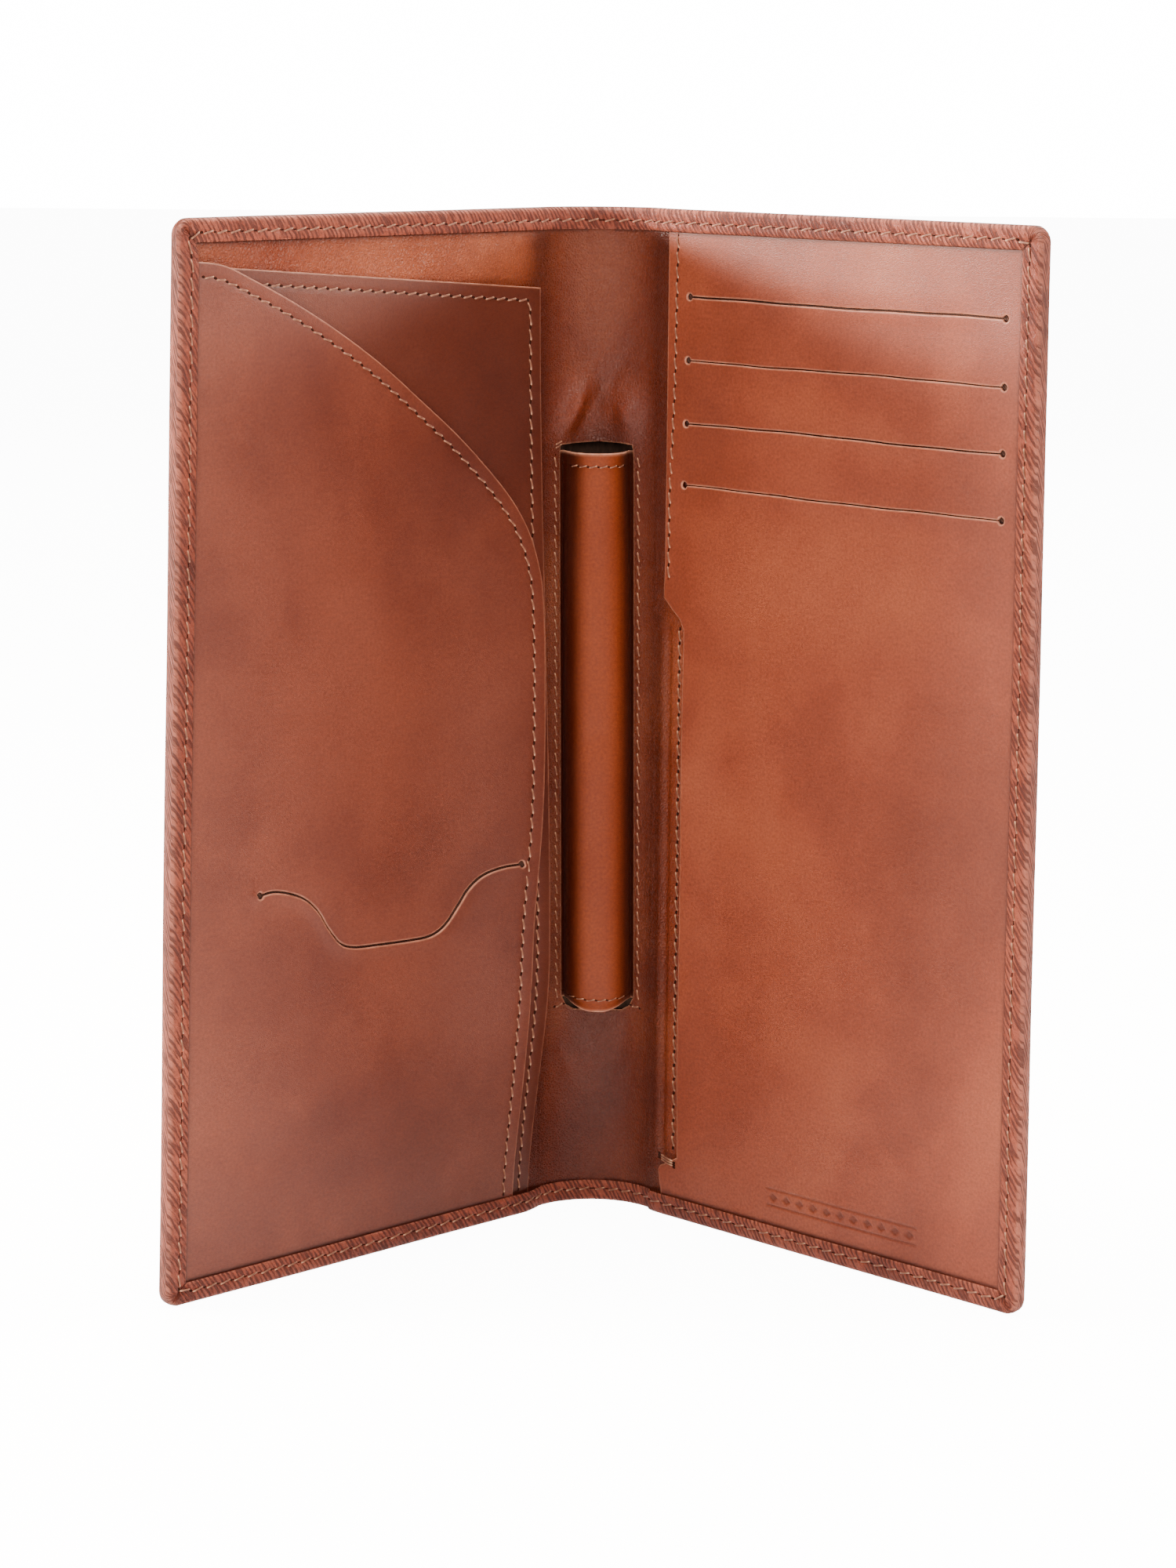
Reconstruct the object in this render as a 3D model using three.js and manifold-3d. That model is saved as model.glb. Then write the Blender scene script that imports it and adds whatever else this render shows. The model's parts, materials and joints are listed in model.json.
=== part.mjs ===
// Travel document organizer: a book-style leather wallet that stands half open.
// Two covers fold on a spine that arches backwards. The interior faces -Y.
// Units are millimetres, +Z is up, and the origin is at the bottom centre of the bounding box.

import * as THREE from 'three';
import { mergeVertices } from 'three/addons/utils/BufferGeometryUtils.js';
import Module from 'manifold-3d';

const wasm = await Module();
wasm.setup();

// ---------------------------------------------------------------- driving dimensions

const HEIGHT = 230;             // wallet height
const COVER_WIDTH = 107;        // crease to outer edge
const COVER_ANGLE = 45;         // degrees each cover is turned forward from flat
const SPINE_CHORD = 30.5;       // distance between the two creases
const SPINE_ARCH = 8;           // how far the spine bulges back between the creases
const CORNER_RADIUS = 3.5;      // outer corners of the covers

const OUTER_LEATHER = 0.8;      // thicknesses of the materials
const HEM_LEATHER = 0.6;
const BOARD = 0.5;
const STAY = 0.4;
const LINING = 0.4;
const PANEL = 0.5;
const CARD_LEATHER = 0.6;
const LOOP_LEATHER = 0.8;
const THIN_LINER = 0.15;
const THREAD = 0.25;
const THREAD_WIDTH = 0.5;

const GAP = 0.2;                // clearance between stacked layers
const FINE_GAP = 0.15;          // clearance beside threads and thin liners
const SIDE_GAP = 0.3;           // clearance between edges that butt
const CREASE_GAP = 0.5;         // outer leather stops this far from the crease line
const INNER_CREASE_GAP = 2.2;   // lining and hems stop this far from the crease line

const HEM_WIDTH = 5;            // turned-in border on the inner face
const SEAM_INSET = 3;           // perimeter stitch line, from the outer edge

// The stack of a cover, as distances inwards from its outer face.
const BOARD_LEVEL = OUTER_LEATHER + GAP;
const LINING_LEVEL = BOARD_LEVEL + BOARD + GAP;
const BACK_LEVEL = LINING_LEVEL + LINING + GAP;
const SLIT_LINER_LEVEL = BACK_LEVEL + PANEL + GAP;
const FRONT_LEVEL = SLIT_LINER_LEVEL + THIN_LINER + FINE_GAP;
const HEM_LEVEL = FRONT_LEVEL + PANEL + GAP;
const CARD_LEVEL = HEM_LEVEL - GAP - CARD_LEATHER;
const COVER_THICKNESS = HEM_LEVEL + HEM_LEATHER;

// The stack of the spine, likewise.
const STAY_LEVEL = OUTER_LEATHER + GAP;
const FLANGE_LEVEL = STAY_LEVEL + STAY + GAP;
const SPINE_LINING_LEVEL = FLANGE_LEVEL + PANEL + GAP;
const SPINE_HEM_LEVEL = SPINE_LINING_LEVEL + LINING + GAP;
const SPINE_THICKNESS = SPINE_HEM_LEVEL + HEM_LEATHER;

// The creases turn about the middle of the outer leather.
const FOLD_LEVEL = OUTER_LEATHER / 2;
const SPINE_RADIUS = (SPINE_CHORD ** 2 / 4 + SPINE_ARCH ** 2) / (2 * SPINE_ARCH);
const SPINE_HALF_ANGLE = Math.asin(SPINE_CHORD / 2 / SPINE_RADIUS);
const SPINE_CENTRE_Y = SPINE_ARCH - SPINE_RADIUS;
const TURN = THREE.MathUtils.degToRad(COVER_ANGLE);

// Pieces tucked under the hem stop short of the rim's inner side.
const TUCK_INSET = OUTER_LEATHER + SIDE_GAP;
const TUCK = COVER_WIDTH - TUCK_INSET;
const TUCK_RADIUS = CORNER_RADIUS - TUCK_INSET;

// The creases stand where the bounding box's centre comes to y = 0.
const BACK_Y = SPINE_ARCH + FOLD_LEVEL;
const FRONT_Y = -COVER_WIDTH * Math.sin(TURN) - (COVER_THICKNESS - FOLD_LEVEL) * Math.cos(TURN);
const CREASE_Y = -(BACK_Y + FRONT_Y) / 2;

// ---------------------------------------------------------------- materials

const leather = (color, roughness) => new THREE.MeshStandardMaterial({ color, roughness, metalness: 0 });
const OUTER_LOOK = [0x6b3a22, 0.6];
const LINING_LOOK = [0x8a4a26, 0.35];
const POCKET_LOOK = [0x5c2f1e, 0.45];
const THREAD_LOOK = [0x3a2018, 0.7];
const BOARD_LOOK = [0xb9a98c, 0.9];
const LINER_LOOK = [0x4a2a1c, 0.8];

// ---------------------------------------------------------------- solids

// Joins and cuts are made on merged, position-only meshes.
function toSolid(geometry) {
  const bare = geometry.clone();
  bare.deleteAttribute('normal');
  bare.deleteAttribute('uv');
  const merged = mergeVertices(bare, 1e-4);
  const mesh = new wasm.Mesh({
    numProp: 3,
    vertProperties: new Float32Array(merged.attributes.position.array),
    triVerts: new Uint32Array(merged.index.array),
  });
  return new wasm.Manifold(mesh);
}

function toGeometry(solid) {
  const mesh = solid.getMesh();
  const geometry = new THREE.BufferGeometry();
  geometry.setAttribute('position', new THREE.BufferAttribute(new Float32Array(mesh.vertProperties), 3));
  geometry.setIndex(new THREE.BufferAttribute(new Uint32Array(mesh.triVerts), 1));
  geometry.computeVertexNormals();
  return geometry;
}

function join(...geometries) {
  return toGeometry(geometries.map(toSolid).reduce((whole, piece) => whole.add(piece)));
}

function cut(geometry, ...tools) {
  return toGeometry(tools.map(toSolid).reduce((rest, tool) => rest.subtract(tool), toSolid(geometry)));
}

// A cover lies flat in its own frame: x runs from the crease to the outer edge, z is up, and the
// inner face looks along -y. A layer is a shape in x and z, from one level to another.
function layer(shape, level, thickness, curveSegments = 8) {
  const settings = { depth: thickness, bevelEnabled: false, curveSegments };
  const geometry = new THREE.ExtrudeGeometry(shape, settings);
  geometry.translate(0, 0, level - FOLD_LEVEL);
  return geometry.rotateX(Math.PI / 2);
}

// The spine's layers are sectors of a ring about its own centre, as high as they are told.
function sector(level, thickness, fromAngle, toAngle, bottom, top, segments = 16) {
  const outer = SPINE_RADIUS + FOLD_LEVEL - level;
  const inner = outer - thickness;
  const shape = new THREE.Shape();
  shape.absarc(0, 0, outer, Math.PI / 2 + fromAngle, Math.PI / 2 + toAngle, false);
  shape.absarc(0, 0, inner, Math.PI / 2 + toAngle, Math.PI / 2 + fromAngle, true);
  const options = { depth: top - bottom, bevelEnabled: false, curveSegments: segments };
  const geometry = new THREE.ExtrudeGeometry(shape, options);
  return geometry.translate(0, SPINE_CENTRE_Y, bottom);
}

const spineAngle = (distance) => distance / SPINE_RADIUS;

// The angle at which a layer of the spine stands this far sideways from the spine's middle.
const sideAngle = (x, level) => Math.asin(x / (SPINE_RADIUS + FOLD_LEVEL - level));

// A plate with rounded outer corners, standing off the crease, the top, the bottom and the outer edge.
function coverPlate(crease, inset) {
  const right = COVER_WIDTH - inset;
  const top = HEIGHT - inset;
  const radius = Math.max(CORNER_RADIUS - inset, 0.5);
  const shape = new THREE.Shape();
  shape.moveTo(crease, inset);
  shape.lineTo(right - radius, inset);
  shape.absarc(right - radius, inset + radius, radius, -Math.PI / 2, 0, false);
  shape.lineTo(right, top - radius);
  shape.absarc(right - radius, top - radius, radius, 0, Math.PI / 2, false);
  shape.lineTo(crease, top);
  shape.closePath();
  return shape;
}

// Starts the outline of a piece tucked under the hem: its bottom edge and rounded outer corner.
function tuckedBottom(x) {
  const shape = new THREE.Shape();
  shape.moveTo(x, TUCK_INSET);
  shape.lineTo(TUCK - TUCK_RADIUS, TUCK_INSET);
  shape.absarc(TUCK - TUCK_RADIUS, TUCK_INSET + TUCK_RADIUS, TUCK_RADIUS, -Math.PI / 2, 0, false);
  return shape;
}

// A border along the bottom, the outer edge and the top of a cover, between two insets.
function coverBorder(crease, outerInset, innerInset, level, thickness) {
  const plate = layer(coverPlate(crease, outerInset), level, thickness);
  const middle = layer(coverPlate(crease - 10, innerInset), level - 1, thickness + 2);
  return cut(plate, middle);
}

function smooth(points) {
  return new THREE.SplineCurve(points.map(([x, z]) => new THREE.Vector2(x, z)));
}

// A ribbon of constant width along a list of points in x and z.
function ribbon(points, width) {
  const line = points.map(([x, z]) => new THREE.Vector2(x, z));
  const left = [];
  const right = [];
  line.forEach((point, i) => {
    const before = line[Math.max(i - 1, 0)];
    const after = line[Math.min(i + 1, line.length - 1)];
    const into = new THREE.Vector2().subVectors(point, before).normalize();
    const out = new THREE.Vector2().subVectors(after, point).normalize();
    const along = into.add(out).normalize();
    const side = new THREE.Vector2(-along.y, along.x).multiplyScalar(width / 2);
    left.push(point.clone().add(side));
    right.push(point.clone().sub(side));
  });
  return new THREE.Shape([...left, ...right.reverse()]);
}

function part(name, geometry, [color, roughness]) {
  const mesh = new THREE.Mesh(geometry, leather(color, roughness));
  mesh.name = name;
  return mesh;
}

// ---------------------------------------------------------------- pieces that both covers have

// The outer leather wraps round the edge and comes back over the inner face as a hem.
function outerCover() {
  const face = layer(coverPlate(CREASE_GAP, 0), 0, OUTER_LEATHER);
  const edge = coverBorder(INNER_CREASE_GAP, 0, OUTER_LEATHER, 0, COVER_THICKNESS);
  const hem = coverBorder(INNER_CREASE_GAP, 0, HEM_WIDTH, HEM_LEVEL, HEM_LEATHER);
  return join(face, edge, hem);
}

function coverBoard() {
  return layer(coverPlate(4, HEM_WIDTH + 1), BOARD_LEVEL, BOARD);
}

function coverLining() {
  return layer(coverPlate(INNER_CREASE_GAP, TUCK_INSET), LINING_LEVEL, LINING);
}

function perimeterSeam() {
  const level = COVER_THICKNESS + FINE_GAP;
  return coverBorder(INNER_CREASE_GAP + 1, SEAM_INSET, SEAM_INSET + THREAD_WIDTH, level, THREAD);
}

// ---------------------------------------------------------------- left cover

const POCKET_SEAM_INSET = 3;
const POCKET_SEAM_START = COVER_WIDTH - HEM_WIDTH - 1;
const POCKET_SEAM_END = HEM_WIDTH + 1;
const BACK_EDGE = 2.4;          // the back pocket's free edge, from the crease
const BACK_TOP_OUTER = 220.6;   // its top edge is straight and slopes down to the spine
const BACK_TOP_CREASE = 212.4;
const FRONT_SWEEP = [           // the front pocket's top edge, from the outer hem to its free edge
  [TUCK, 221.2], [95, 220.3], [85.5, 216.6], [61, 204.6], [38, 190.3], [18, 173], [7, 159.5], [3.2, 146],
];
const FRONT_EDGE = [            // its free edge, from the sweep down to the bottom hem
  [3.2, 135], [6.8, 66], [7.2, TUCK_INSET],
];
const SLIT = [                  // the document slit, from its outer end to its end by the spine
  [82.6, 86.5], [77, 86.2], [70, 84.2], [65, 80.5], [60, 73.2], [56, 71.3],
  [45, 70.5], [34, 70.1], [30, 72], [24, 79.5], [20, 82.5], [10, 83.8],
];
const SLIT_WIDTH = 0.8;
const SLIT_HOLE_RADIUS = 1;
const SLIT_LINER_START = 8.5;
const SLIT_LINER_TOP = 96;

const sweepCurve = smooth(FRONT_SWEEP);
const slitCurve = smooth(SLIT);
const asPairs = (vectors) => vectors.map(({ x, y }) => [x, y]);

function backPocket() {
  const shape = tuckedBottom(BACK_EDGE);
  shape.lineTo(TUCK, BACK_TOP_OUTER);
  shape.lineTo(BACK_EDGE, BACK_TOP_CREASE);
  shape.closePath();
  return layer(shape, BACK_LEVEL, PANEL);
}

function backPocketSeam() {
  const slope = (BACK_TOP_OUTER - BACK_TOP_CREASE) / (TUCK - BACK_EDGE);
  const edge = BACK_EDGE + POCKET_SEAM_INSET;
  const topAt = (x) => BACK_TOP_CREASE + slope * (x - BACK_EDGE) - POCKET_SEAM_INSET;
  const start = [POCKET_SEAM_START, topAt(POCKET_SEAM_START)];
  const points = [start, [edge, topAt(edge)], [edge, POCKET_SEAM_END]];
  return layer(ribbon(points, THREAD_WIDTH), BACK_LEVEL + PANEL + FINE_GAP, THREAD);
}

function slitHole(x, z) {
  const shape = new THREE.Shape();
  shape.absarc(x, z, SLIT_HOLE_RADIUS, 0, 2 * Math.PI, false);
  return shape;
}

function frontPocket() {
  const [lowX] = FRONT_EDGE.at(-1);
  const shape = tuckedBottom(lowX);
  sweepCurve.getPoints(28).forEach(({ x, y }) => shape.lineTo(x, y));
  FRONT_EDGE.forEach(([x, z]) => shape.lineTo(x, z));
  const panel = layer(shape, FRONT_LEVEL, PANEL);
  const deep = [FRONT_LEVEL - 1, PANEL + 2];
  const slit = layer(ribbon(asPairs(slitCurve.getPoints(32)), SLIT_WIDTH), ...deep);
  const ends = [SLIT[0], SLIT.at(-1)].map(([x, z]) => layer(slitHole(x, z), ...deep));
  return cut(panel, slit, ...ends);
}

// The seam follows the sweep at a constant inset, then runs down beside the free edge.
function frontPocketSeam() {
  const inset = sweepCurve.getPoints(28).map((point, i) => {
    const tangent = sweepCurve.getTangent(i / 28);
    return [point.x - tangent.y * POCKET_SEAM_INSET, point.y + tangent.x * POCKET_SEAM_INSET];
  });
  const kept = inset.filter(([x]) => x < POCKET_SEAM_START);
  const edge = FRONT_EDGE.map(([x, z]) => [x + POCKET_SEAM_INSET, Math.max(z, POCKET_SEAM_END)]);
  const points = [...kept, ...edge];
  return layer(ribbon(points, THREAD_WIDTH), FRONT_LEVEL + PANEL + FINE_GAP, THREAD);
}

function slitPocketLiner() {
  const shape = tuckedBottom(SLIT_LINER_START);
  shape.lineTo(TUCK, SLIT_LINER_TOP);
  shape.lineTo(SLIT_LINER_START, SLIT_LINER_TOP);
  return layer(shape, SLIT_LINER_LEVEL, THIN_LINER);
}

function leftCover() {
  const group = new THREE.Group();
  group.add(
    part('outer_cover_left', outerCover(), OUTER_LOOK),
    part('cover_board_left', coverBoard(), BOARD_LOOK),
    part('lining_left', coverLining(), LINING_LOOK),
    part('back_pocket_left', backPocket(), LINING_LOOK),
    part('back_pocket_seam', backPocketSeam(), THREAD_LOOK),
    part('slit_pocket_liner', slitPocketLiner(), LINER_LOOK),
    part('front_pocket_left', frontPocket(), POCKET_LOOK),
    part('front_pocket_seam', frontPocketSeam(), THREAD_LOOK),
    part('perimeter_seam_left', perimeterSeam(), THREAD_LOOK),
  );
  // The left cover is built as a right one and mirrored, which turns its faces inside out.
  group.children.forEach((mesh) => mirror(mesh.geometry));
  group.position.set(-SPINE_CHORD / 2, CREASE_Y, 0);
  group.rotation.z = TURN;
  return group;
}

function mirror(geometry) {
  geometry.scale(-1, 1, 1);
  if (geometry.index) {
    flipTriangles(geometry.index.array);
  } else {
    const index = Array.from({ length: geometry.attributes.position.count }, (_, i) => i);
    flipTriangles(index);
    geometry.setIndex(index);
  }
}

function flipTriangles(index) {
  for (let i = 0; i < index.length; i += 3) {
    [index[i + 1], index[i + 2]] = [index[i + 2], index[i + 1]];
  }
}

// ---------------------------------------------------------------- right cover

const CARD_EDGE = 2.5;          // card panel's sewn edge, from the crease
const MOUTH_EDGE = 8.6;         // its free edge, where the side pocket opens
const MOUTH_TOP = 139;
const NOTCH_TOP = 143.2;
const MOUTH_BOTTOM = 12.4;
const CARD_SLOTS = 4;
const CARD_SLOT_TOP = 210.8;
const CARD_SLOT_PITCH = 13.9;
const CARD_SLOT_ENDS = [8.8, 97.8];
const CARD_SLOT_WIDTH = 0.8;
const CARD_POCKET_DEPTH = 40;
const CARD_LINER_PITCH = 0.3;   // neighbouring liners lie one behind the other
const CARD_SEAM_INSET = 2.5;

const slotHeight = (i) => CARD_SLOT_TOP - i * CARD_SLOT_PITCH;

function rectangle(x0, x1, z0, z1) {
  const corners = [[x0, z0], [x1, z0], [x1, z1], [x0, z1]];
  return new THREE.Shape(corners.map(([x, z]) => new THREE.Vector2(x, z)));
}

function cardPanel() {
  const shape = tuckedBottom(CARD_EDGE);
  const top = HEIGHT - TUCK_INSET;
  shape.lineTo(TUCK, top - TUCK_RADIUS);
  shape.absarc(TUCK - TUCK_RADIUS, top - TUCK_RADIUS, TUCK_RADIUS, 0, Math.PI / 2, false);
  shape.lineTo(CARD_EDGE, top);
  shape.lineTo(CARD_EDGE, NOTCH_TOP);
  shape.lineTo(MOUTH_EDGE, MOUTH_TOP);
  shape.lineTo(MOUTH_EDGE, MOUTH_BOTTOM);
  shape.lineTo(CARD_EDGE, MOUTH_BOTTOM - 5);
  shape.closePath();
  const deep = [CARD_LEVEL - 1, CARD_LEATHER + 2];
  const tools = [];
  for (let i = 0; i < CARD_SLOTS; i += 1) {
    const z = slotHeight(i);
    const [x0, x1] = CARD_SLOT_ENDS;
    tools.push(layer(rectangle(x0, x1, z - CARD_SLOT_WIDTH / 2, z + CARD_SLOT_WIDTH / 2), ...deep));
    tools.push(layer(slitHole(x0, z), ...deep), layer(slitHole(x1, z), ...deep));
  }
  return cut(layer(shape, CARD_LEVEL, CARD_LEATHER), ...tools);
}

// Each liner hangs behind its slot. Three of them overlap at any height, so they take three levels in turn.
function cardPocketLiner(i) {
  const top = slotHeight(i) + 1.5;
  const [x0, x1] = CARD_SLOT_ENDS;
  const level = CARD_LEVEL - GAP - THIN_LINER - CARD_LINER_PITCH * (i % 3);
  return layer(rectangle(x0 - 1.5, x1 + 1.5, top - CARD_POCKET_DEPTH, top), level, THIN_LINER);
}

function cardPanelSeam() {
  const x = CARD_EDGE + CARD_SEAM_INSET;
  const points = [[x, HEIGHT - HEM_WIDTH - 1], [x, NOTCH_TOP]];
  return layer(ribbon(points, THREAD_WIDTH), CARD_LEVEL + CARD_LEATHER + FINE_GAP, THREAD);
}

function sidePocketSeam() {
  const x = MOUTH_EDGE + CARD_SEAM_INSET;
  const points = [[x, MOUTH_TOP - 1], [x, MOUTH_BOTTOM + 3]];
  return layer(ribbon(points, THREAD_WIDTH), CARD_LEVEL + CARD_LEATHER + FINE_GAP, THREAD);
}

function barTack() {
  const points = [[MOUTH_EDGE - 2, MOUTH_BOTTOM - 3], [MOUTH_EDGE + 3, MOUTH_BOTTOM + 1]];
  return layer(ribbon(points, 1.2), CARD_LEVEL + CARD_LEATHER + FINE_GAP, THREAD);
}

function rightCover() {
  const group = new THREE.Group();
  group.add(
    part('outer_cover_right', outerCover(), OUTER_LOOK),
    part('cover_board_right', coverBoard(), BOARD_LOOK),
    part('lining_right', coverLining(), LINING_LOOK),
    part('card_panel_right', cardPanel(), POCKET_LOOK),
    part('card_panel_seam', cardPanelSeam(), THREAD_LOOK),
    part('side_pocket_seam', sidePocketSeam(), THREAD_LOOK),
    part('side_pocket_bar_tack', barTack(), THREAD_LOOK),
    part('perimeter_seam_right', perimeterSeam(), THREAD_LOOK),
  );
  for (let i = 0; i < CARD_SLOTS; i += 1) {
    group.add(part(`card_pocket_liner_${i + 1}`, cardPocketLiner(i), LINER_LOOK));
  }
  group.position.set(SPINE_CHORD / 2, CREASE_Y, 0);
  group.rotation.z = -TURN;
  return group;
}

// ---------------------------------------------------------------- spine and pen loop

const LOOP_BOTTOM = 47;
const LOOP_TOP = 175.5;
const LOOP_HALF_WIDTH = 7.8;
const LOOP_DEPTH = 9;           // how far the tube stands proud of the lining
const LOOP_FLANGE_REACH = 12.2; // the sewn flange ends this far from the spine's middle
const LOOP_SEAM = 10.2;         // side seams, from the spine's middle
const LOOP_HEM_INSET = 3;       // hem threads, from the tube's ends
const WINDOW_MARGIN = 1.2;      // the lining's window is larger than the tube by this much

const HEM_THREAD_LIFT = 2;      // the hem threads end this far in front of the tube's roots
const LINING_FACE_Y = SPINE_ARCH + FOLD_LEVEL - SPINE_LINING_LEVEL - LINING;
const LOOP_FRONT_Y = LINING_FACE_Y - LOOP_DEPTH;
const FLANGE_RADIUS = SPINE_RADIUS + FOLD_LEVEL - FLANGE_LEVEL - PANEL / 2;
const LOOP_ROOT_Y = SPINE_CENTRE_Y + Math.sqrt(FLANGE_RADIUS ** 2 - LOOP_HALF_WIDTH ** 2);

function outerSpine() {
  const half = SPINE_HALF_ANGLE - spineAngle(CREASE_GAP);
  const innerHalf = SPINE_HALF_ANGLE - spineAngle(INNER_CREASE_GAP);
  const strip = (level, thickness, bottom, width) =>
    sector(level, thickness, -innerHalf, innerHalf, bottom, bottom + width);
  const hem = (bottom) => strip(SPINE_HEM_LEVEL, HEM_LEATHER, bottom, HEM_WIDTH);
  const edge = (bottom) => strip(0, SPINE_THICKNESS, bottom, OUTER_LEATHER);
  return join(
    sector(0, OUTER_LEATHER, -half, half, 0, HEIGHT),
    edge(0),
    edge(HEIGHT - OUTER_LEATHER),
    hem(0),
    hem(HEIGHT - HEM_WIDTH),
  );
}

function spineStay() {
  const half = sideAngle(LOOP_FLANGE_REACH, STAY_LEVEL);
  return sector(STAY_LEVEL, STAY, -half, half, LOOP_BOTTOM - 12, LOOP_TOP + 12);
}

function spineLining() {
  const half = SPINE_HALF_ANGLE - spineAngle(INNER_CREASE_GAP);
  const sheet = sector(SPINE_LINING_LEVEL, LINING, -half, half, TUCK_INSET, HEIGHT - TUCK_INSET);
  const windowHalf = sideAngle(LOOP_HALF_WIDTH + WINDOW_MARGIN, SPINE_LINING_LEVEL);
  const low = LOOP_BOTTOM - WINDOW_MARGIN;
  const high = LOOP_TOP + WINDOW_MARGIN;
  return cut(sheet, sector(SPINE_LINING_LEVEL - 1, LINING + 2, -windowHalf, windowHalf, low, high));
}

// Half of a flattened tube: an oval arch that stands forward from the level of its flanges.
function loopArch(grow, thickness, bottom, top, back) {
  const steps = 20;
  const outer = [];
  const inner = [];
  for (let i = 0; i <= steps; i += 1) {
    const angle = Math.PI * (i / steps);
    const x = Math.cos(angle);
    const y = Math.sin(angle) ** 0.8;
    const halfWidth = LOOP_HALF_WIDTH + grow;
    const depth = back - LOOP_FRONT_Y + grow;
    outer.push(new THREE.Vector2(halfWidth * x, back - depth * y));
    inner.push(new THREE.Vector2((halfWidth - thickness) * x, back - (depth - thickness) * y));
  }
  const shape = new THREE.Shape([...outer, ...inner.reverse()]);
  const geometry = new THREE.ExtrudeGeometry(shape, { depth: top - bottom, bevelEnabled: false });
  return geometry.translate(0, 0, bottom);
}

function penLoop() {
  const arch = loopArch(0, LOOP_LEATHER, LOOP_BOTTOM, LOOP_TOP, LOOP_ROOT_Y);
  const from = sideAngle(LOOP_HALF_WIDTH - LOOP_LEATHER / 2, FLANGE_LEVEL);
  const to = sideAngle(LOOP_FLANGE_REACH, FLANGE_LEVEL);
  const flange = (a, b) => sector(FLANGE_LEVEL, PANEL, a, b, LOOP_BOTTOM, LOOP_TOP);
  return join(arch, flange(from, to), flange(-to, -from));
}

function penLoopSideSeam(side) {
  const level = SPINE_LINING_LEVEL + LINING + FINE_GAP;
  const centre = side * sideAngle(LOOP_SEAM, level);
  const half = spineAngle(THREAD_WIDTH / 2);
  return sector(level, THREAD, centre - half, centre + half, LOOP_BOTTOM + 1, LOOP_TOP - 1, 2);
}

function penLoopHemSeam(height) {
  const bottom = height - THREAD_WIDTH / 2;
  const end = LOOP_ROOT_Y - HEM_THREAD_LIFT;
  return loopArch(FINE_GAP + THREAD, THREAD, bottom, bottom + THREAD_WIDTH, end);
}

function spineSeam(height) {
  const half = SPINE_HALF_ANGLE - spineAngle(INNER_CREASE_GAP + 1);
  const bottom = height - THREAD_WIDTH / 2;
  const level = SPINE_THICKNESS + FINE_GAP;
  return sector(level, THREAD, -half, half, bottom, bottom + THREAD_WIDTH);
}

function spine() {
  const group = new THREE.Group();
  group.add(
    part('outer_cover_spine', outerSpine(), OUTER_LOOK),
    part('spine_stay', spineStay(), LINER_LOOK),
    part('lining_spine', spineLining(), LINING_LOOK),
    part('pen_loop', penLoop(), POCKET_LOOK),
    part('pen_loop_seam_left', penLoopSideSeam(1), THREAD_LOOK),
    part('pen_loop_seam_right', penLoopSideSeam(-1), THREAD_LOOK),
    part('pen_loop_hem_seam_top', penLoopHemSeam(LOOP_TOP - LOOP_HEM_INSET), THREAD_LOOK),
    part('pen_loop_hem_seam_bottom', penLoopHemSeam(LOOP_BOTTOM + LOOP_HEM_INSET), THREAD_LOOK),
    part('perimeter_seam_spine_top', spineSeam(HEIGHT - SEAM_INSET), THREAD_LOOK),
    part('perimeter_seam_spine_bottom', spineSeam(SEAM_INSET), THREAD_LOOK),
  );
  group.position.set(0, CREASE_Y, 0);
  return group;
}

// ---------------------------------------------------------------- assembly

const organizer = new THREE.Group();
organizer.add(spine(), leftCover(), rightCover());

export default organizer;
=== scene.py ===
"""A travel document organizer in brown leather, standing half open on its bottom edges.

The covers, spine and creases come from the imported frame. The leather, boards, linings, pen loop,
pockets and stitching are made round them, in the order in which such a wallet is put together.
"""

import json
import math

import bmesh
import bpy
import numpy as np
from mathutils import Matrix, Vector
from mathutils.geometry import delaunay_2d_cdt
from mathutils.kdtree import KDTree


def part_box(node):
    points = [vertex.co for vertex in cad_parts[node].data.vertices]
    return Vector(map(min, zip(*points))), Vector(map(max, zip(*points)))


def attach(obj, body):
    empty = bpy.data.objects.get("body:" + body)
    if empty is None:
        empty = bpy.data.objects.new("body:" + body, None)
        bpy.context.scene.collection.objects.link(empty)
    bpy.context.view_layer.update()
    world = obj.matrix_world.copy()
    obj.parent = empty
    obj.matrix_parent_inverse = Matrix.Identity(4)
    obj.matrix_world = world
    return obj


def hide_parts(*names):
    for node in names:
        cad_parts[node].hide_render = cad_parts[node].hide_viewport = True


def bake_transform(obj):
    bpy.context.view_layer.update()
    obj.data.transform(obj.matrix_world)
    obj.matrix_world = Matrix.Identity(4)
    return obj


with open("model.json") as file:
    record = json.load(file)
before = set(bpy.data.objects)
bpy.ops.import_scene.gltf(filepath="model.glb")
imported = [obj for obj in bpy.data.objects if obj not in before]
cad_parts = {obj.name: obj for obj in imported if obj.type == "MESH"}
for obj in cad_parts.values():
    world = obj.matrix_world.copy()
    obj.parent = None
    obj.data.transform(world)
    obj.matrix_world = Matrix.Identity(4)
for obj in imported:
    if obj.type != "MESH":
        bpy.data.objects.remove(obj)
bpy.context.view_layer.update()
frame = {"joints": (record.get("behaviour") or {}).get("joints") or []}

# ---------------------------------------------------------------- camera
# A long lens a little above the wallet's top edge, looking slightly down into the open interior.
# It leans by half a degree, as a hand-held camera does.
EYE = Vector((-0.0122, -0.8176, 0.2614))
EYE_TURN = math.radians(-0.68)
EYE_PITCH = math.radians(-9.55)
EYE_ROLL = math.radians(-0.56)
LENS = 87.6
LENS_SHIFT = -0.05

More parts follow.
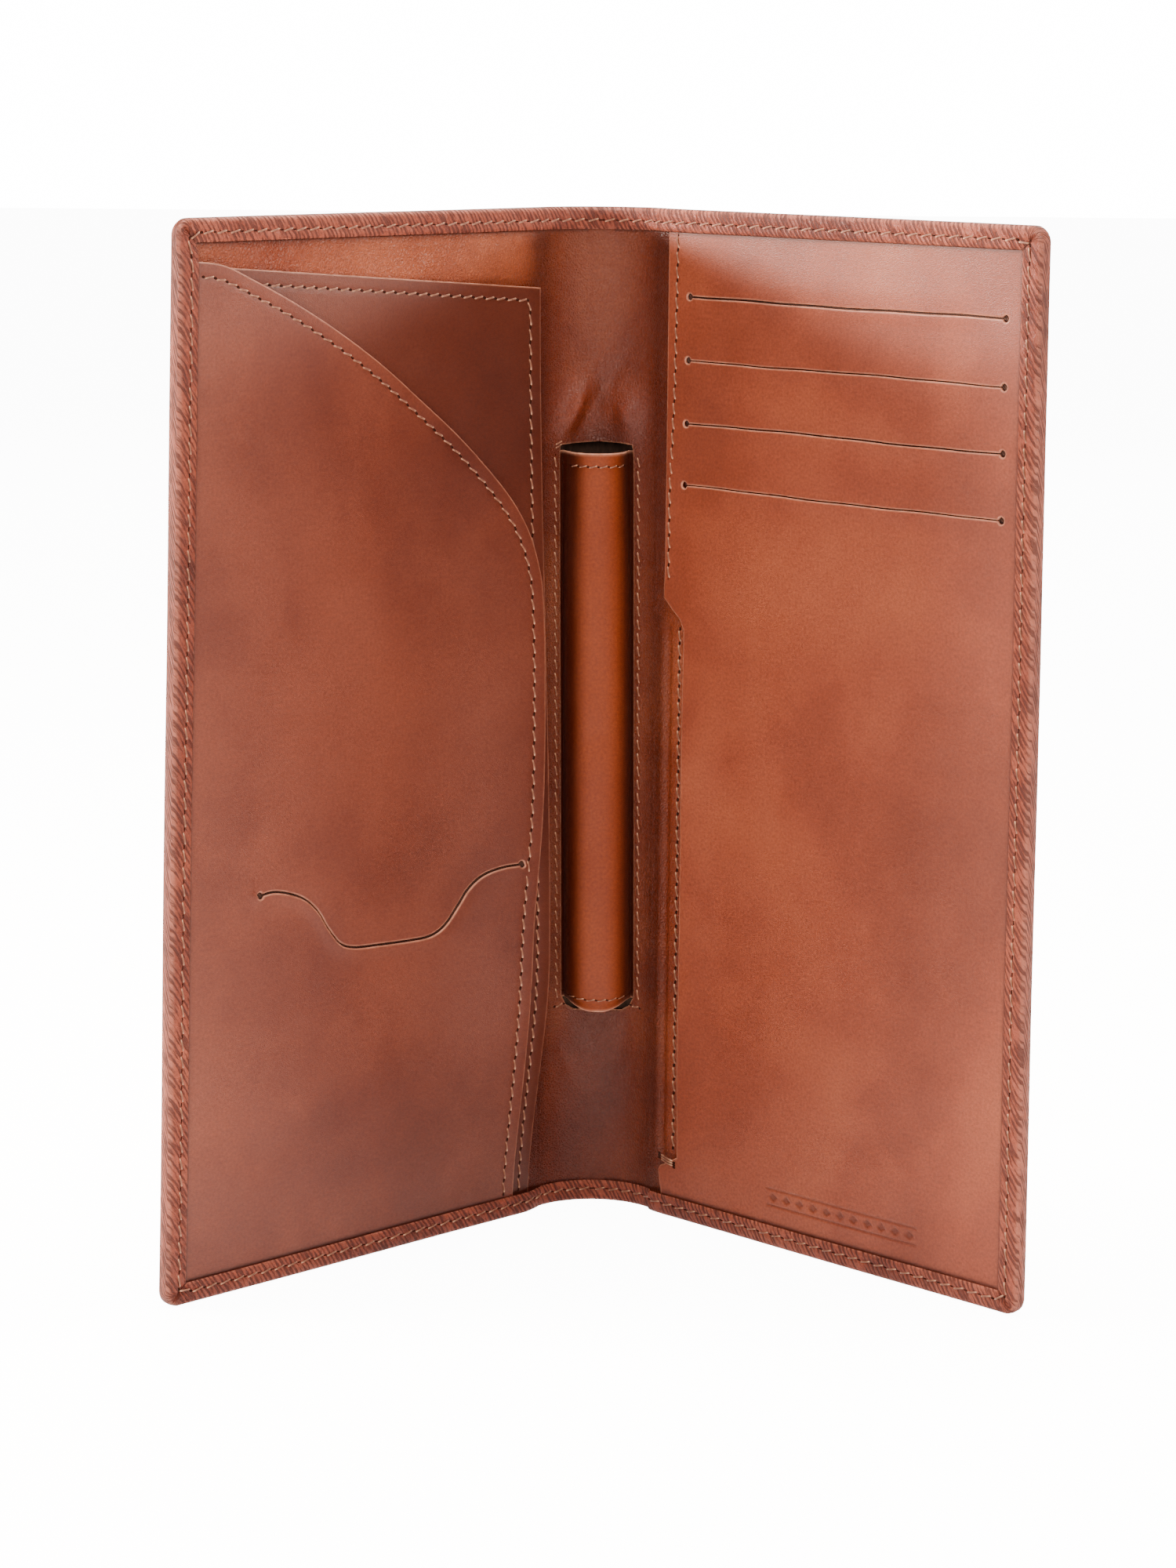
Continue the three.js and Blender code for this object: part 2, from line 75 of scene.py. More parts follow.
camera = bpy.data.objects.new("camera", bpy.data.cameras.new("camera"))
camera.data.lens = LENS
camera.data.shift_y = LENS_SHIFT
camera.matrix_world = (
    Matrix.Translation(EYE)
    @ Matrix.Rotation(EYE_TURN, 4, "Z")
    @ Matrix.Rotation(EYE_PITCH, 4, "X")
    @ Matrix.Rotation(EYE_ROLL, 4, "Y")
    @ Matrix.Rotation(math.pi / 2, 4, "X")
)
bpy.context.scene.collection.objects.link(camera)
bpy.context.scene.camera = camera

# ---------------------------------------------------------------- outer leather
# One embossed cowhide wraps both covers and the spine, and its edges are pared and turned in all round
# as a narrow hem. It is divided down the middle of the spine, so each half bends at one crease.
LEATHER = 0.0008
FOLD_LEVEL = LEATHER / 2        # the creases turn about the middle of the hide
COVER_TURN = math.radians(45)
TWIST = {-1: math.radians(1.9), 1: math.radians(0.4)}   # the covers wind a little from bottom to top
HEM = 0.005
HEM_LEATHER = 0.00065
CORNER = 0.0035
SEAM_INSET = 0.003              # the last seam runs this far in, and draws a furrow in both faces
TURN_BEFORE, TURN_AFTER = 0.003, 0.005   # the arch of the spine eases into a cover between these
THIN_RIM = 0.0031               # thickness of the edge where only the lining is sewn in
POCKET_RIM = 0.0009             # what sewn-in pockets add to it
POCKET_RIM_TOP = (0.2212, 0.2245)   # the left cover's pockets end between these heights
RIM_RAMP = {-1: 0.004, 1: 0.0006}   # the rim thickens gently at the left crease, with a lap at the right
SLACK = 0.00016
PLEAT = 0.00012
CORNER_NICK = 0.00045
RISE_POINTS = 90
FLAT_INSET = 0.009              # from here to the middle the hide's section is flat
FLAT_POINTS = 27
EMBOSS_SLANT = math.radians(33)

hinge = {joint["child"]: Vector(joint["pos_m"]) for joint in frame["joints"]}
crease_x = hinge["right_cover"].x
crease_y = hinge["right_cover"].y
spine_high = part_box("outer_cover_spine")[1]
cover_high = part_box("outer_cover_right")[1]
height = spine_high.z
arch = spine_high.y - crease_y - FOLD_LEVEL
spine_radius = (crease_x ** 2 + arch ** 2) / (2 * arch)
half_arc = spine_radius * math.asin(crease_x / spine_radius)
cover_width = (cover_high.x - crease_x - FOLD_LEVEL * math.sin(COVER_TURN)) / math.cos(COVER_TURN)
reach = half_arc + cover_width  # from the middle of the spine to a cover's outer edge


def ease(low, high, value):
    """0 below low, 1 above high, and a smooth step between."""
    share = np.clip((np.asarray(value, float) - low) / (high - low), 0, 1)
    return share * share * (3 - 2 * share)


def dip(distance, width):
    """1 at no distance, falling smoothly to 0 over about twice the width."""
    return np.exp(-((np.asarray(distance) / width) ** 2))


section_s = np.linspace(0, reach + 0.01, 1400)
section_turn = section_s / spine_radius
section_turn += (COVER_TURN - section_turn) * ease(half_arc - TURN_BEFORE, half_arc + TURN_AFTER, section_s)
section_step = np.diff(section_s, prepend=0)
section_x = np.cumsum(np.cos(section_turn) * section_step)
section_y = crease_y + arch - np.cumsum(np.sin(section_turn) * section_step)


def slack(s, z):
    """The gentle unevenness of a hide over its board, the same for every layer of a cover."""
    wave = np.sin(s * 61 + z * 23 + 0.6) * np.sin(z * 37 - s * 18) + 0.6 * np.sin(s * 34 - z * 52 + 2)
    return SLACK * wave * ease(half_arc, half_arc + 0.02, np.abs(s))


def wallet(s, level, z):
    """The point at distance s round the wallet from mid-spine, level in from its face, at height z."""
    s, level, z = np.broadcast_arrays(*(np.asarray(value, float) for value in (s, level, z)))
    out = np.abs(s)
    turn = np.interp(out, section_s, section_turn)
    depth = level - FOLD_LEVEL + slack(s, z)
    x = np.interp(out, section_s, section_x) - depth * np.sin(turn) - crease_x
    y = np.interp(out, section_s, section_y) - depth * np.cos(turn) - crease_y
    wind = np.where(s < 0, TWIST[-1], TWIST[1]) * (1 - 2 * z / height)
    wind = wind * ease(half_arc, half_arc + 0.008, out)
    across = crease_x + x * np.cos(wind) - y * np.sin(wind)
    deep = crease_y + x * np.sin(wind) + y * np.cos(wind)
    return np.stack([np.where(s < 0, -1, 1) * across, deep, z], axis=-1)


def rim_depth(s, z):
    """How thick the wallet's edge is: thicker where pockets are sewn into it."""
    below_pocket_top = 1 - ease(*POCKET_RIM_TOP, z)
    ramp = np.where(np.asarray(s) < 0, RIM_RAMP[-1], RIM_RAMP[1])
    on_cover = ease(half_arc - ramp, half_arc + ramp, np.abs(s))
    return THIN_RIM + POCKET_RIM * np.where(s < 0, below_pocket_top, 1.0) * on_cover


def border(inset, side):
    """Points s, z along a half's bottom, outer edge and top, this far in, with their outward normals."""
    radius = max(CORNER - inset, 0.0003)
    corner_s = reach - inset - radius
    low, high = inset + radius, height - inset - radius
    spine = np.concatenate([[0, 0.0001, 0.0003, 0.0008], np.linspace(0.002, 0.0155, 12)])
    crease = np.linspace(0.016, 0.0206, 19)
    cover = np.linspace(0.022, reach - CORNER, 46)
    along = np.concatenate([spine, crease, cover]) * corner_s / (reach - CORNER)
    arc = np.linspace(0, math.pi / 2, 13)[1:-1]
    rise = np.linspace(low, high, RISE_POINTS)
    s = np.concatenate([along, corner_s + radius * np.sin(arc), np.full(RISE_POINTS, corner_s + radius),
                        corner_s + radius * np.cos(arc), along[::-1]])
    z = np.concatenate([np.full(along.size, inset), low - radius * np.cos(arc), rise,
                        high + radius * np.sin(arc), np.full(along.size, height - inset)])
    flat = np.zeros(along.size)
    normal_s = np.concatenate([flat, np.sin(arc), np.ones(RISE_POINTS), np.cos(arc), flat])
    normal_z = np.concatenate([flat - 1, -np.cos(arc), np.zeros(RISE_POINTS), np.sin(arc), flat + 1])
    return side * s, z, side * normal_s, normal_z


def hem_profile():
    """The hide's own section at an edge: inset, level from the outer face, share of the rim's depth."""
    face = [(inset, 0, 0) for inset in np.linspace(height / 2, FLAT_INSET, FLAT_POINTS)]
    turned = [
        (0.006, 0, 0), (0.0042, 0, 0), (0.0035, 0, 0), (SEAM_INSET, 0.00014, 0), (0.0025, 0, 0),
        (0.0016, 0, 0), (0.0009, 0.00009, 0), (0.0004, 0.00036, 0), (0.0001, 0.0009, 0),
        (0, 0, 0.5), (0.00012, -0.0009, 1), (0.00042, -0.00036, 1), (0.001, -0.00006, 1),
        (0.0017, 0, 1), (0.0024, 0, 1), (0.0027, -0.00007, 1), (SEAM_INSET, -0.00018, 1),
        (0.0033, -0.00007, 1), (0.0036, 0, 1), (0.0043, 0, 1), (0.0047, -0.0001, 1),
        (HEM, -0.0003, 1), (0.0048, -0.00056, 1), (0.0042, -HEM_LEATHER, 1), (0.002, -HEM_LEATHER, 1),
        (0.0012, -0.0008, 1), (LEATHER, -0.0012, 1), (LEATHER, 0.0012, 0), (0.0012, LEATHER, 0),
        (0.006, LEATHER, 0),
    ]
    back = [(inset, LEATHER, 0) for inset in np.linspace(FLAT_INSET, height / 2, FLAT_POINTS)]
    return face + turned + back


def corner_pleats(s, z, inset):
    """The hem is gathered where it turns the outer corners, with a deeper nick on the diagonal."""
    from_side = reach - np.abs(s)
    from_end = np.minimum(z, height - z)
    spread = np.hypot(from_side, from_end)
    angle = np.arctan2(from_end, from_side)
    near = 1 - ease(0.004, 0.0095, spread)
    on_hem = ease(0.0004, 0.0012, inset) * (1 - ease(0.0044, 0.005, inset))
    nick = dip((angle - math.pi / 4) * spread, 0.00028) * (1 - ease(0.0065, 0.0085, spread))
    return -(PLEAT * near * (1 + np.sin(angle * 19)) + CORNER_NICK * nick) * on_hem


def add_mask(piece, name, values):
    """A value from 0 to 1 at each point, which the piece's material reads by name."""
    mask = piece.data.attributes.new(name, "FLOAT", "POINT")
    mask.data.foreach_set("value", np.asarray(values, np.float32))


def add_mesh(name, verts, faces, layout, material, rub_and_glint):
    """A smooth-shaded object, with the flat hide's coordinates as its UV map and a mask of its rubbed
    places and painted glints.
    """
    mesh = bpy.data.meshes.new(name)
    mesh.from_pydata(np.asarray(verts).tolist(), [], faces)
    corner_vertex = np.empty(len(mesh.loops), int)
    mesh.loops.foreach_get("vertex_index", corner_vertex)
    flat_hide = np.asarray(layout, np.float32)[corner_vertex]
    mesh.uv_layers.new(name="hide").data.foreach_set("uv", flat_hide.ravel())
    mesh.materials.append(material)
    mesh.shade_smooth()
    piece = bpy.data.objects.new(name, mesh)
    bpy.context.scene.collection.objects.link(piece)
    add_mask(piece, "rub_and_glint", rub_and_glint)
    return piece


def close_up(piece):
    """Joins coincident points, closes a cut along mid-spine with a hard edge, and faces all outwards."""
    bm = bmesh.new()
    bm.from_mesh(piece.data)
    bmesh.ops.remove_doubles(bm, verts=bm.verts, dist=2e-7)
    bmesh.ops.dissolve_degenerate(bm, edges=bm.edges, dist=1e-8)
    bmesh.ops.holes_fill(bm, edges=[edge for edge in bm.edges if edge.is_boundary], sides=0)
    for edge in bm.edges:
        if all(abs(vert.co.x) < 1e-6 for vert in edge.verts):
            edge.smooth = False
    bmesh.ops.recalc_face_normals(bm, faces=bm.faces)
    bm.to_mesh(piece.data)
    bm.free()
    return piece


def grid_faces(rows, columns):
    """The quads of a grid of points that are listed row by row."""
    index = np.arange(rows * columns).reshape(rows, columns)
    quads = np.stack([index[:-1, :-1], index[:-1, 1:], index[1:, 1:], index[1:, :-1]], axis=-1)
    return quads.reshape(-1, 4).tolist()


def outer_leather(side, material):
    """One half of the hide: its section swept round the edge, so that the hem is turned in all along."""
    rows = []
    layout = []
    rub_and_glint = []
    for inset, level, share in hem_profile():
        s, z, normal_s, normal_z = border(inset, side)
        depth = level + share * rim_depth(s, z)
        past_edge = 0
        if share > 0:
            depth = depth + corner_pleats(s, z, inset)
            past_edge = 2 * inset + 0.004 * share
        rows.append(wallet(s, depth, z))
        layout.append(np.stack([s + normal_s * past_edge, z + normal_z * past_edge], -1))
        wear_and_glint = 0.7 * dip(inset - 0.0004, 0.00035) + 0.7 * dip(inset - HEM, 0.00025)
        rub_and_glint.append(np.full(s.size, min(wear_and_glint, 1)))
    name = "outer_leather_left" if side < 0 else "outer_leather_right"
    faces = grid_faces(len(rows), len(rows[0]))
    piece = add_mesh(name, np.concatenate(rows), faces, np.concatenate(layout), material,
                     np.concatenate(rub_and_glint))
    return close_up(piece)


def bend_at_crease(piece):
    """Bakes the piece's placement into its points."""
    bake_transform(piece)


class Wiring:
    """Short ways to place and join shader nodes in one node tree."""

    def __init__(self, tree):
        self.tree = tree

    def node(self, kind, settings, inputs):
        made = self.tree.nodes.new(kind)
        for key, value in settings.items():
            setattr(made, key, value)
        for key, value in inputs.items():
            if isinstance(value, bpy.types.NodeSocket):
                self.tree.links.new(value, made.inputs[key])
            else:
                made.inputs[key].default_value = value
        return made.outputs

    def math(self, operation, first, second=0.0):
        return self.node("ShaderNodeMath", {"operation": operation}, {0: first, 1: second})[0]

    def mix(self, share, first, second, blend="MIX"):
        settings = {"data_type": "RGBA", "blend_type": blend}
        return self.node("ShaderNodeMix", settings, {0: share, 6: first, 7: second})[2]

    def noise(self, vector, scale, detail=2.0, roughness=0.5, distortion=0.0):
        inputs = {"Vector": vector, "Scale": scale, "Detail": detail, "Roughness": roughness,
                  "Distortion": distortion}
        return self.node("ShaderNodeTexNoise", {}, inputs)["Fac"]

    def spread(self, value, low, high, to_low=0.0, to_high=1.0):
        inputs = {"Value": value, "From Min": low, "From Max": high, "To Min": to_low, "To Max": to_high}
        return self.node("ShaderNodeMapRange", {"clamp": True}, inputs)[0]

    def stretch(self, vector, across, along):
        inputs = {0: vector, 1: (across, along, 1.0)}
        return self.node("ShaderNodeVectorMath", {"operation": "MULTIPLY"}, inputs)[0]

    def hide(self):
        return self.node("ShaderNodeUVMap", {"uv_map": "hide"}, {})["UV"]

    def mask(self, name):
        return self.node("ShaderNodeAttribute", {"attribute_name": name}, {})["Fac"]

    def effect(self, group, inputs):
        return self.node("ShaderNodeGroup", {"node_tree": group}, inputs)

    def join(self, source, target):
        self.tree.links.new(source, target)


def new_effect(name, inputs, outputs):
    """A shader node group with these sockets, and what its nodes are wired between."""
    group = bpy.data.node_groups.new(name, "ShaderNodeTree")
    for label, kind, default in inputs:
        socket = group.interface.new_socket(label, in_out="INPUT", socket_type="NodeSocket" + kind)
        if default is not None:
            socket.default_value = default
    for label, kind in outputs:
        group.interface.new_socket(label, in_out="OUTPUT", socket_type="NodeSocket" + kind)
    start = group.nodes.new("NodeGroupInput")
    end = group.nodes.new("NodeGroupOutput")
    return group, Wiring(group), start.outputs, end.inputs


def make_dye_clouds():
    """Hand-rubbed dye: broad clouds between a light and a deep tone, with finer mottling in them."""
    group, wire, given, out = new_effect(
        "dye_clouds",
        [("Vector", "Vector", None), ("Light", "Color", (0.4, 0.1, 0.04, 1)),
         ("Middle", "Color", (0.3, 0.07, 0.03, 1)), ("Deep", "Color", (0.1, 0.03, 0.02, 1)),
         ("Cloud Scale", "Float", 22.0), ("Mottle", "Float", 0.35)],
        [("Color", "Color")],
    )
    broad = wire.noise(given["Vector"], given["Cloud Scale"], 2.0, 0.5, 0.3)
    finer = wire.noise(given["Vector"], wire.math("MULTIPLY", given["Cloud Scale"], 5.0), 4.0, 0.6, 0.3)
    speckle = wire.noise(given["Vector"], 1500.0, 2.0, 0.6)
    mottle = wire.math("MULTIPLY", wire.math("SUBTRACT", finer, 0.5), given["Mottle"])
    tone = wire.math("ADD", broad, mottle)
    color = wire.mix(wire.spread(tone, 0.46, 0.80), given["Middle"], given["Light"])
    color = wire.mix(wire.spread(tone, 0.5, 0.22), color, given["Deep"])
    shade = wire.spread(speckle, 0.25, 0.75, 0.74, 1.22)
    gray = wire.node("ShaderNodeCombineColor", {}, {"Red": shade, "Green": shade, "Blue": shade})[0]
    wire.join(wire.mix(1.0, color, gray, "MULTIPLY"), out["Color"])
    return group


def make_hide_grain():
    """Fine pebbled grain: small cells with soft valleys, pores, and broader handling marks."""
    group, wire, given, out = new_effect(
        "hide_grain",
        [("Vector", "Vector", None), ("Cell Scale", "Float", 1500.0), ("Wrinkle", "Float", 0.3)],
        [("Height", "Float"), ("Valley", "Float")],
    )
    cells = {"Vector": given["Vector"], "Scale": given["Cell Scale"], "Randomness": 1.0}
    pebble = wire.node("ShaderNodeTexVoronoi", {"feature": "DISTANCE_TO_EDGE"}, cells)["Distance"]
    pebble = wire.spread(pebble, 0.0, 0.22)
    fine = wire.noise(given["Vector"], wire.math("MULTIPLY", given["Cell Scale"], 1.7), 3.0, 0.6)
    broad = wire.noise(given["Vector"], 120.0, 5.0, 0.62, 1.2)
    height = wire.math("ADD", wire.math("MULTIPLY", pebble, 0.45), wire.math("MULTIPLY", fine, 0.55))
    height = wire.math("ADD", height, wire.math("MULTIPLY", broad, given["Wrinkle"]))
    wire.join(height, out["Height"])
    wire.join(wire.math("SUBTRACT", 1.0, pebble), out["Valley"])
    return group


def make_edge_wear():
    """Where an edge is rubbed the dye wears through in patches to a lighter tone."""
    group, wire, given, out = new_effect(
        "edge_wear",
        [("Vector", "Vector", None), ("Color", "Color", (0.3, 0.1, 0.05, 1)),
         ("Worn", "Color", (0.6, 0.3, 0.2, 1)), ("Rub", "Float", 0.0), ("Amount", "Float", 0.8)],
        [("Color", "Color")],
    )
    patchy = wire.spread(wire.noise(given["Vector"], 420.0, 3.0, 0.6), 0.3, 0.65, 0.45, 1.0)
    share = wire.math("MULTIPLY", wire.math("MULTIPLY", given["Rub"], given["Amount"]), patchy)
    wire.join(wire.mix(share, given["Color"], given["Worn"]), out["Color"])
    return group


dye_clouds = make_dye_clouds()
hide_grain = make_hide_grain()
edge_wear = make_edge_wear()


def new_material(name, roughness, **finish):
    """A material with its constant finish on the shader, and its wiring."""
    material = bpy.data.materials.new(name)
    material.use_nodes = True
    shader = material.node_tree.nodes["Principled BSDF"]
    shader.inputs["Roughness"].default_value = roughness
    for label, value in finish.items():
        shader.inputs[label.replace("_", " ")].default_value = value
    return material, Wiring(material.node_tree), shader.inputs


def embossed_hide():
    """Semi-matt hide with close, broken diagonal ridges pressed into it."""
    material, wire, shader = new_material("embossed_hide", 0.5, Specular_IOR_Level=0.3)
    vector = wire.hide()
    turned = wire.node("ShaderNodeVectorRotate", {"rotation_type": "Z_AXIS"},
                       {"Vector": vector, "Angle": EMBOSS_SLANT})[0]
    drift = wire.math("MULTIPLY", wire.noise(vector, 150.0), 0.6)
    across = wire.node("ShaderNodeSeparateXYZ", {}, {0: turned})[0]
    phase = wire.math("ADD", wire.math("MULTIPLY", across, 1000.0), drift)
    ridge = wire.math("SINE", wire.math("MULTIPLY", phase, 2 * math.pi))
    slashes = wire.noise(wire.stretch(turned, 1150.0, 190.0), 1.0, 3.0, 0.6)
    groove = wire.spread(wire.math("ADD", slashes, wire.math("MULTIPLY", ridge, 0.09)), 0.54, 0.40)
    dye = wire.effect(dye_clouds, {"Vector": vector, "Light": (0.34, 0.080, 0.042, 1),
                                   "Middle": (0.23, 0.045, 0.023, 1), "Deep": (0.13, 0.023, 0.012, 1),
                                   "Cloud Scale": 26.0, "Mottle": 0.5})[0]
    color = wire.effect(edge_wear, {"Vector": vector, "Color": dye, "Worn": (0.56, 0.21, 0.14, 1),
                                    "Rub": wire.mask("rub_and_glint"), "Amount": 0.6})[0]
    color = wire.mix(wire.math("MULTIPLY", groove, 0.75), color, (0.045, 0.009, 0.007, 1))
    wire.join(color, shader["Base Color"])
    grain = wire.effect(hide_grain, {"Vector": vector, "Cell Scale": 2300.0, "Wrinkle": 0.15})
    height = wire.math("SUBTRACT", wire.math("MULTIPLY", grain["Height"], 0.35), groove)
    bump = wire.node("ShaderNodeBump", {}, {"Height": height, "Strength": 0.9, "Distance": 0.0003})
    wire.join(bump["Normal"], shader["Normal"])
    wire.join(wire.spread(groove, 0.0, 1.0, 0.42, 0.62), shader["Roughness"])
    return material


hide = embossed_hide()
for side, cover in ((-1, "outer_cover_left"), (1, "outer_cover_right")):
    leather = outer_leather(side, hide)
    bend_at_crease(leather)
    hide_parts(cover, "outer_cover_spine")

# ---------------------------------------------------------------- cover boards and spine stay
# A brown card board stiffens each cover, and a narrower stay of the same card the spine. They are die-cut
# and glued to the back of the hide, clear of the creases so that these can bend.
BOARD = 0.0004
BOARD_LEVEL = 0.00125           # of its inner face
BOARD_INSET = 0.0025            # from the wallet's edges
BOARD_CREASE_GAP = 0.004
STAY_REACH = 0.0125
CUT_STEP = 0.00015              # between the points that stand for a cut edge
CUT_ROUNDING = 0.00012          # a cut edge is softened this far in
MID_SPINE = 0.0004              # where two halves meet, and no edge is cut


def polygon_area(points):
    """The area inside a closed loop, positive where it runs anticlockwise."""
    following = np.roll(points, -1, axis=0)
    return 0.5 * np.sum(points[:, 0] * following[:, 1] - following[:, 0] * points[:, 1])


def even_points(corners, step, closed=True):
    """Points along straight stretches between corners, about a step apart, corners included."""
    corners = [np.array(corner, float) for corner in corners]
    ends = corners[1:] + corners[:1] if closed else corners[1:]
    points = []
    for start, end in zip(corners, ends):
        count = max(1, round(np.linalg.norm(end - start) / step))
        points += [start + (end - start) * i / count for i in range(count)]
    return np.array(points if closed else points + [corners[-1]])


def nearest(points, tree):
    """For each point, the distance to the nearest of the tree's points and which one that is."""
    found = [tree.find((point[0], point[1], 0)) for point in points]
    return np.array([hit[2] for hit in found]), np.array([hit[1] for hit in found])


def tree_of(points):
    """Flat points, ready to be searched for the nearest."""
    tree = KDTree(len(points))
    for index, point in enumerate(points):
        tree.insert((point[0], point[1], 0), index)
    tree.balance()
    return tree


def inside(points, loop):
    """Which of the points lie inside a closed loop."""
    crossings = np.zeros(len(points), int)
    for (x1, y1), (x2, y2) in zip(loop, np.roll(loop, -1, axis=0)):
        spans = (y1 > points[:, 1]) != (y2 > points[:, 1])
        at = x1 + (points[:, 1] - y1) * (x2 - x1) / (y2 - y1 if y1 != y2 else 1)
        crossings += spans & (points[:, 0] < at)
    return crossings % 2 == 1


def inset_normals(loop):
    """At each point of a closed loop, the step that moves both its neighbouring edges in by one."""
    after = np.roll(loop, -1, axis=0) - loop
    after /= np.linalg.norm(after, axis=1)[:, None]
    left = np.stack([-after[:, 1], after[:, 0]], -1)
    before = np.roll(left, 1, axis=0)
    return (left + before) / np.maximum(1 + np.sum(left * before, axis=1), 0.35)[:, None]


def cut_panel(name, outline, face, thickness, material, holes=(), rings=(CUT_ROUNDING, 0.0004),
              cell=0.005, columns=(), extra=(), rounding=0.0001, shade_and_scorch=None, shift=(0, 0)):
    """A flat-cut piece laid on the wallet, given in distance s round it and height z.

    face(s, z, edge) is the level of its front, and edge is the distance to the nearest cut edge. The
    rings are rows of points at those distances in from the cuts, and columns are lines of finer points.
    The darkening mask, a function of s and z, marks painted shade and the scorch of tooling, and shift
    moves the pattern of the leather, so that no two pieces are cut from the same place.
    """
    loops = [np.array(outline, float)] + [np.array(hole, float) for hole in holes]
    for index, loop in enumerate(loops):
        if (polygon_area(loop) > 0) != (index == 0):
            loops[index] = loop[::-1]
    boundary = tree_of(np.concatenate([even_points(list(loop), CUT_STEP) for loop in loops]))
    low, high = loops[0].min(axis=0), loops[0].max(axis=0)
    widths = np.concatenate([np.arange(low[0] + cell / 2, high[0], cell), columns])
    heights = np.arange(low[1] + cell / 2, high[1], cell)
    field = np.stack(np.meshgrid(widths, heights), -1).reshape(-1, 2)
    field = np.concatenate([field, np.array(extra, float).reshape(-1, 2)])
    far = nearest(field, boundary)[0] > (max(rings) + 0.25 * min(cell, 0.002))
    rows = []
    for loop in loops:
        for ring in rings:
            row = loop + inset_normals(loop) * ring
            rows.append(row[nearest(row, boundary)[0] > 0.93 * ring])
    points = np.concatenate(loops + rows + [field[far]])
    edges = []
    first = 0
    for loop in loops:
        edges += [(first + i, first + (i + 1) % len(loop)) for i in range(len(loop))]
        first += len(loop)
    corners = [Vector(point) for point in (points * 1000).tolist()]
    flat, _, triangles, *_ = delaunay_2d_cdt(corners, edges, [], 1, 1e-5)
    flat = np.array([(point.x, point.y) for point in flat]) / 1000
    triangles = np.array(triangles)
    middles = flat[triangles].mean(axis=1)
    kept = inside(middles, loops[0])
    for loop in loops[1:]:
        kept &= ~inside(middles, loop)
    triangles = triangles[kept].tolist()
    edge = nearest(flat, boundary)[0]
    s, z = flat[:, 0], flat[:, 1]
    raw = np.abs(s) > MID_SPINE
    rounded = rounding * np.clip(1 - edge / CUT_ROUNDING, 0, 1) * raw
    front = face(s, z, edge)
    verts = np.concatenate([wallet(s, front - rounded, z), wallet(s, front - thickness + rounded, z)])
    count = len(flat)
    sides = {}
    for triangle in triangles:
        for a, b in zip(triangle, list(triangle[1:]) + [triangle[0]]):
            sides[(a, b)] = sides.get((a, b), 0) + 1
    faces = [tuple(triangle) for triangle in triangles]
    faces += [tuple(count + i for i in reversed(triangle)) for triangle in triangles]
    faces += [(b, a, count + a, count + b) for a, b in sides if (b, a) not in sides]
    rub_and_glint = np.tile(dip(edge, 0.00016) * raw, 2)
    piece = add_mesh(name, verts, faces, np.tile(flat + shift, (2, 1)), material, rub_and_glint)
    if shade_and_scorch:
        add_mask(piece, "shade_and_scorch", np.tile(shade_and_scorch(s, z), 2))
    return close_up(piece)


def rectangle(left, right, low, high, radius=0.002, step=0.004):
    """A rectangle's outline with rounded corners."""
    centres = [(right - radius, high - radius, 0), (left + radius, high - radius, 90),
               (left + radius, low + radius, 180), (right - radius, low + radius, 270)]
    points = []
    for s, z, start in centres:
        for angle in np.radians(np.linspace(start, start + 90, 5)):
            points.append((s + radius * math.cos(angle), z + radius * math.sin(angle)))
    return even_points(points, step)


def card_stock():
    """Brown recycled card with short fibres, coloured near black as painted shade where it shows in the pen
    loop's window.
    """
    material, wire, shader = new_material("card_stock", 0.9, Specular_IOR_Level=0.2)
    vector = wire.hide()
    fibres = wire.noise(wire.stretch(vector, 900.0, 250.0), 1.0, 4.0, 0.7)
    # near-black card colour: painted shade inside the loop's window
    color = wire.mix(wire.spread(fibres, 0.3, 0.7), (0.022, 0.011, 0.007, 1), (0.05, 0.025, 0.016, 1))
    wire.join(color, shader["Base Color"])
    bump = wire.node("ShaderNodeBump", {}, {"Height": fibres, "Strength": 0.4, "Distance": 0.0001})
    wire.join(bump["Normal"], shader["Normal"])
    return material


def level_at(depth):
    """A face that lies at one depth all over."""
    return lambda s, z, edge: np.full(np.shape(s), depth)


card = card_stock()
board_start, board_end = half_arc + BOARD_CREASE_GAP, reach - BOARD_INSET
stiffeners = [
    ("board_left", "left_cover", "cover_board_left", -board_end, -board_start),
    ("board_right", "right_cover", "cover_board_right", board_start, board_end),
    ("stay", "spine", "spine_stay", -STAY_REACH, STAY_REACH),
]
for name, body, node, left, right in stiffeners:
    outline = rectangle(left, right, BOARD_INSET, height - BOARD_INSET)
    board = cut_panel(name, outline, level_at(BOARD_LEVEL), BOARD, card)
    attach(board, body)
    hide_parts(node)

# ---------------------------------------------------------------- linings
# Thin smooth calf is glued over the boards and the spine. It rises over the pen loop's flanges, puckers
# above the loop and creases below it, and it is cut out round the loop.
LINING = 0.0004
COVER_LINING_LEVEL = 0.00175
SPINE_LINING_LEVEL = 0.00225
WINDOW_TOP = 0.1768
WINDOW_LOW = 0.0462
WINDOW_REACH = 0.0096
WINDOW_HEAD = [(0, 0.0006), (0.006, 0.0003)]    # the top edge arches: across, and up from its corners
WINDOW_FOOT = [(0, 0.0032), (0.0012, 0.0010), (0.0034, -0.0002)]   # chamfer: in from the side, and up
LOOP_LEAN = (0.0010, -0.0008)   # the loop is set askew: its sideways shift at the window's foot and top
TUCK = 0.0016                   # the gap between a layer's edge and the wallet's outer edge
HEM_RINGS = (CUT_ROUNDING, 0.0004, 0.0031, 0.0036, 0.0041)
# Two swellings and the valley between: height, place across and up, slant, half-width and half-height.
PUCKERS = [(0.0027, -0.0065, 0.1852, 0.5, 0.0031, 0.0056),
           (0.0025, 0.0072, 0.1838, 0, 0.0040, 0.0046),
           (-0.0010, -0.0007, 0.1865, 0.7, 0.0021, 0.0075)]
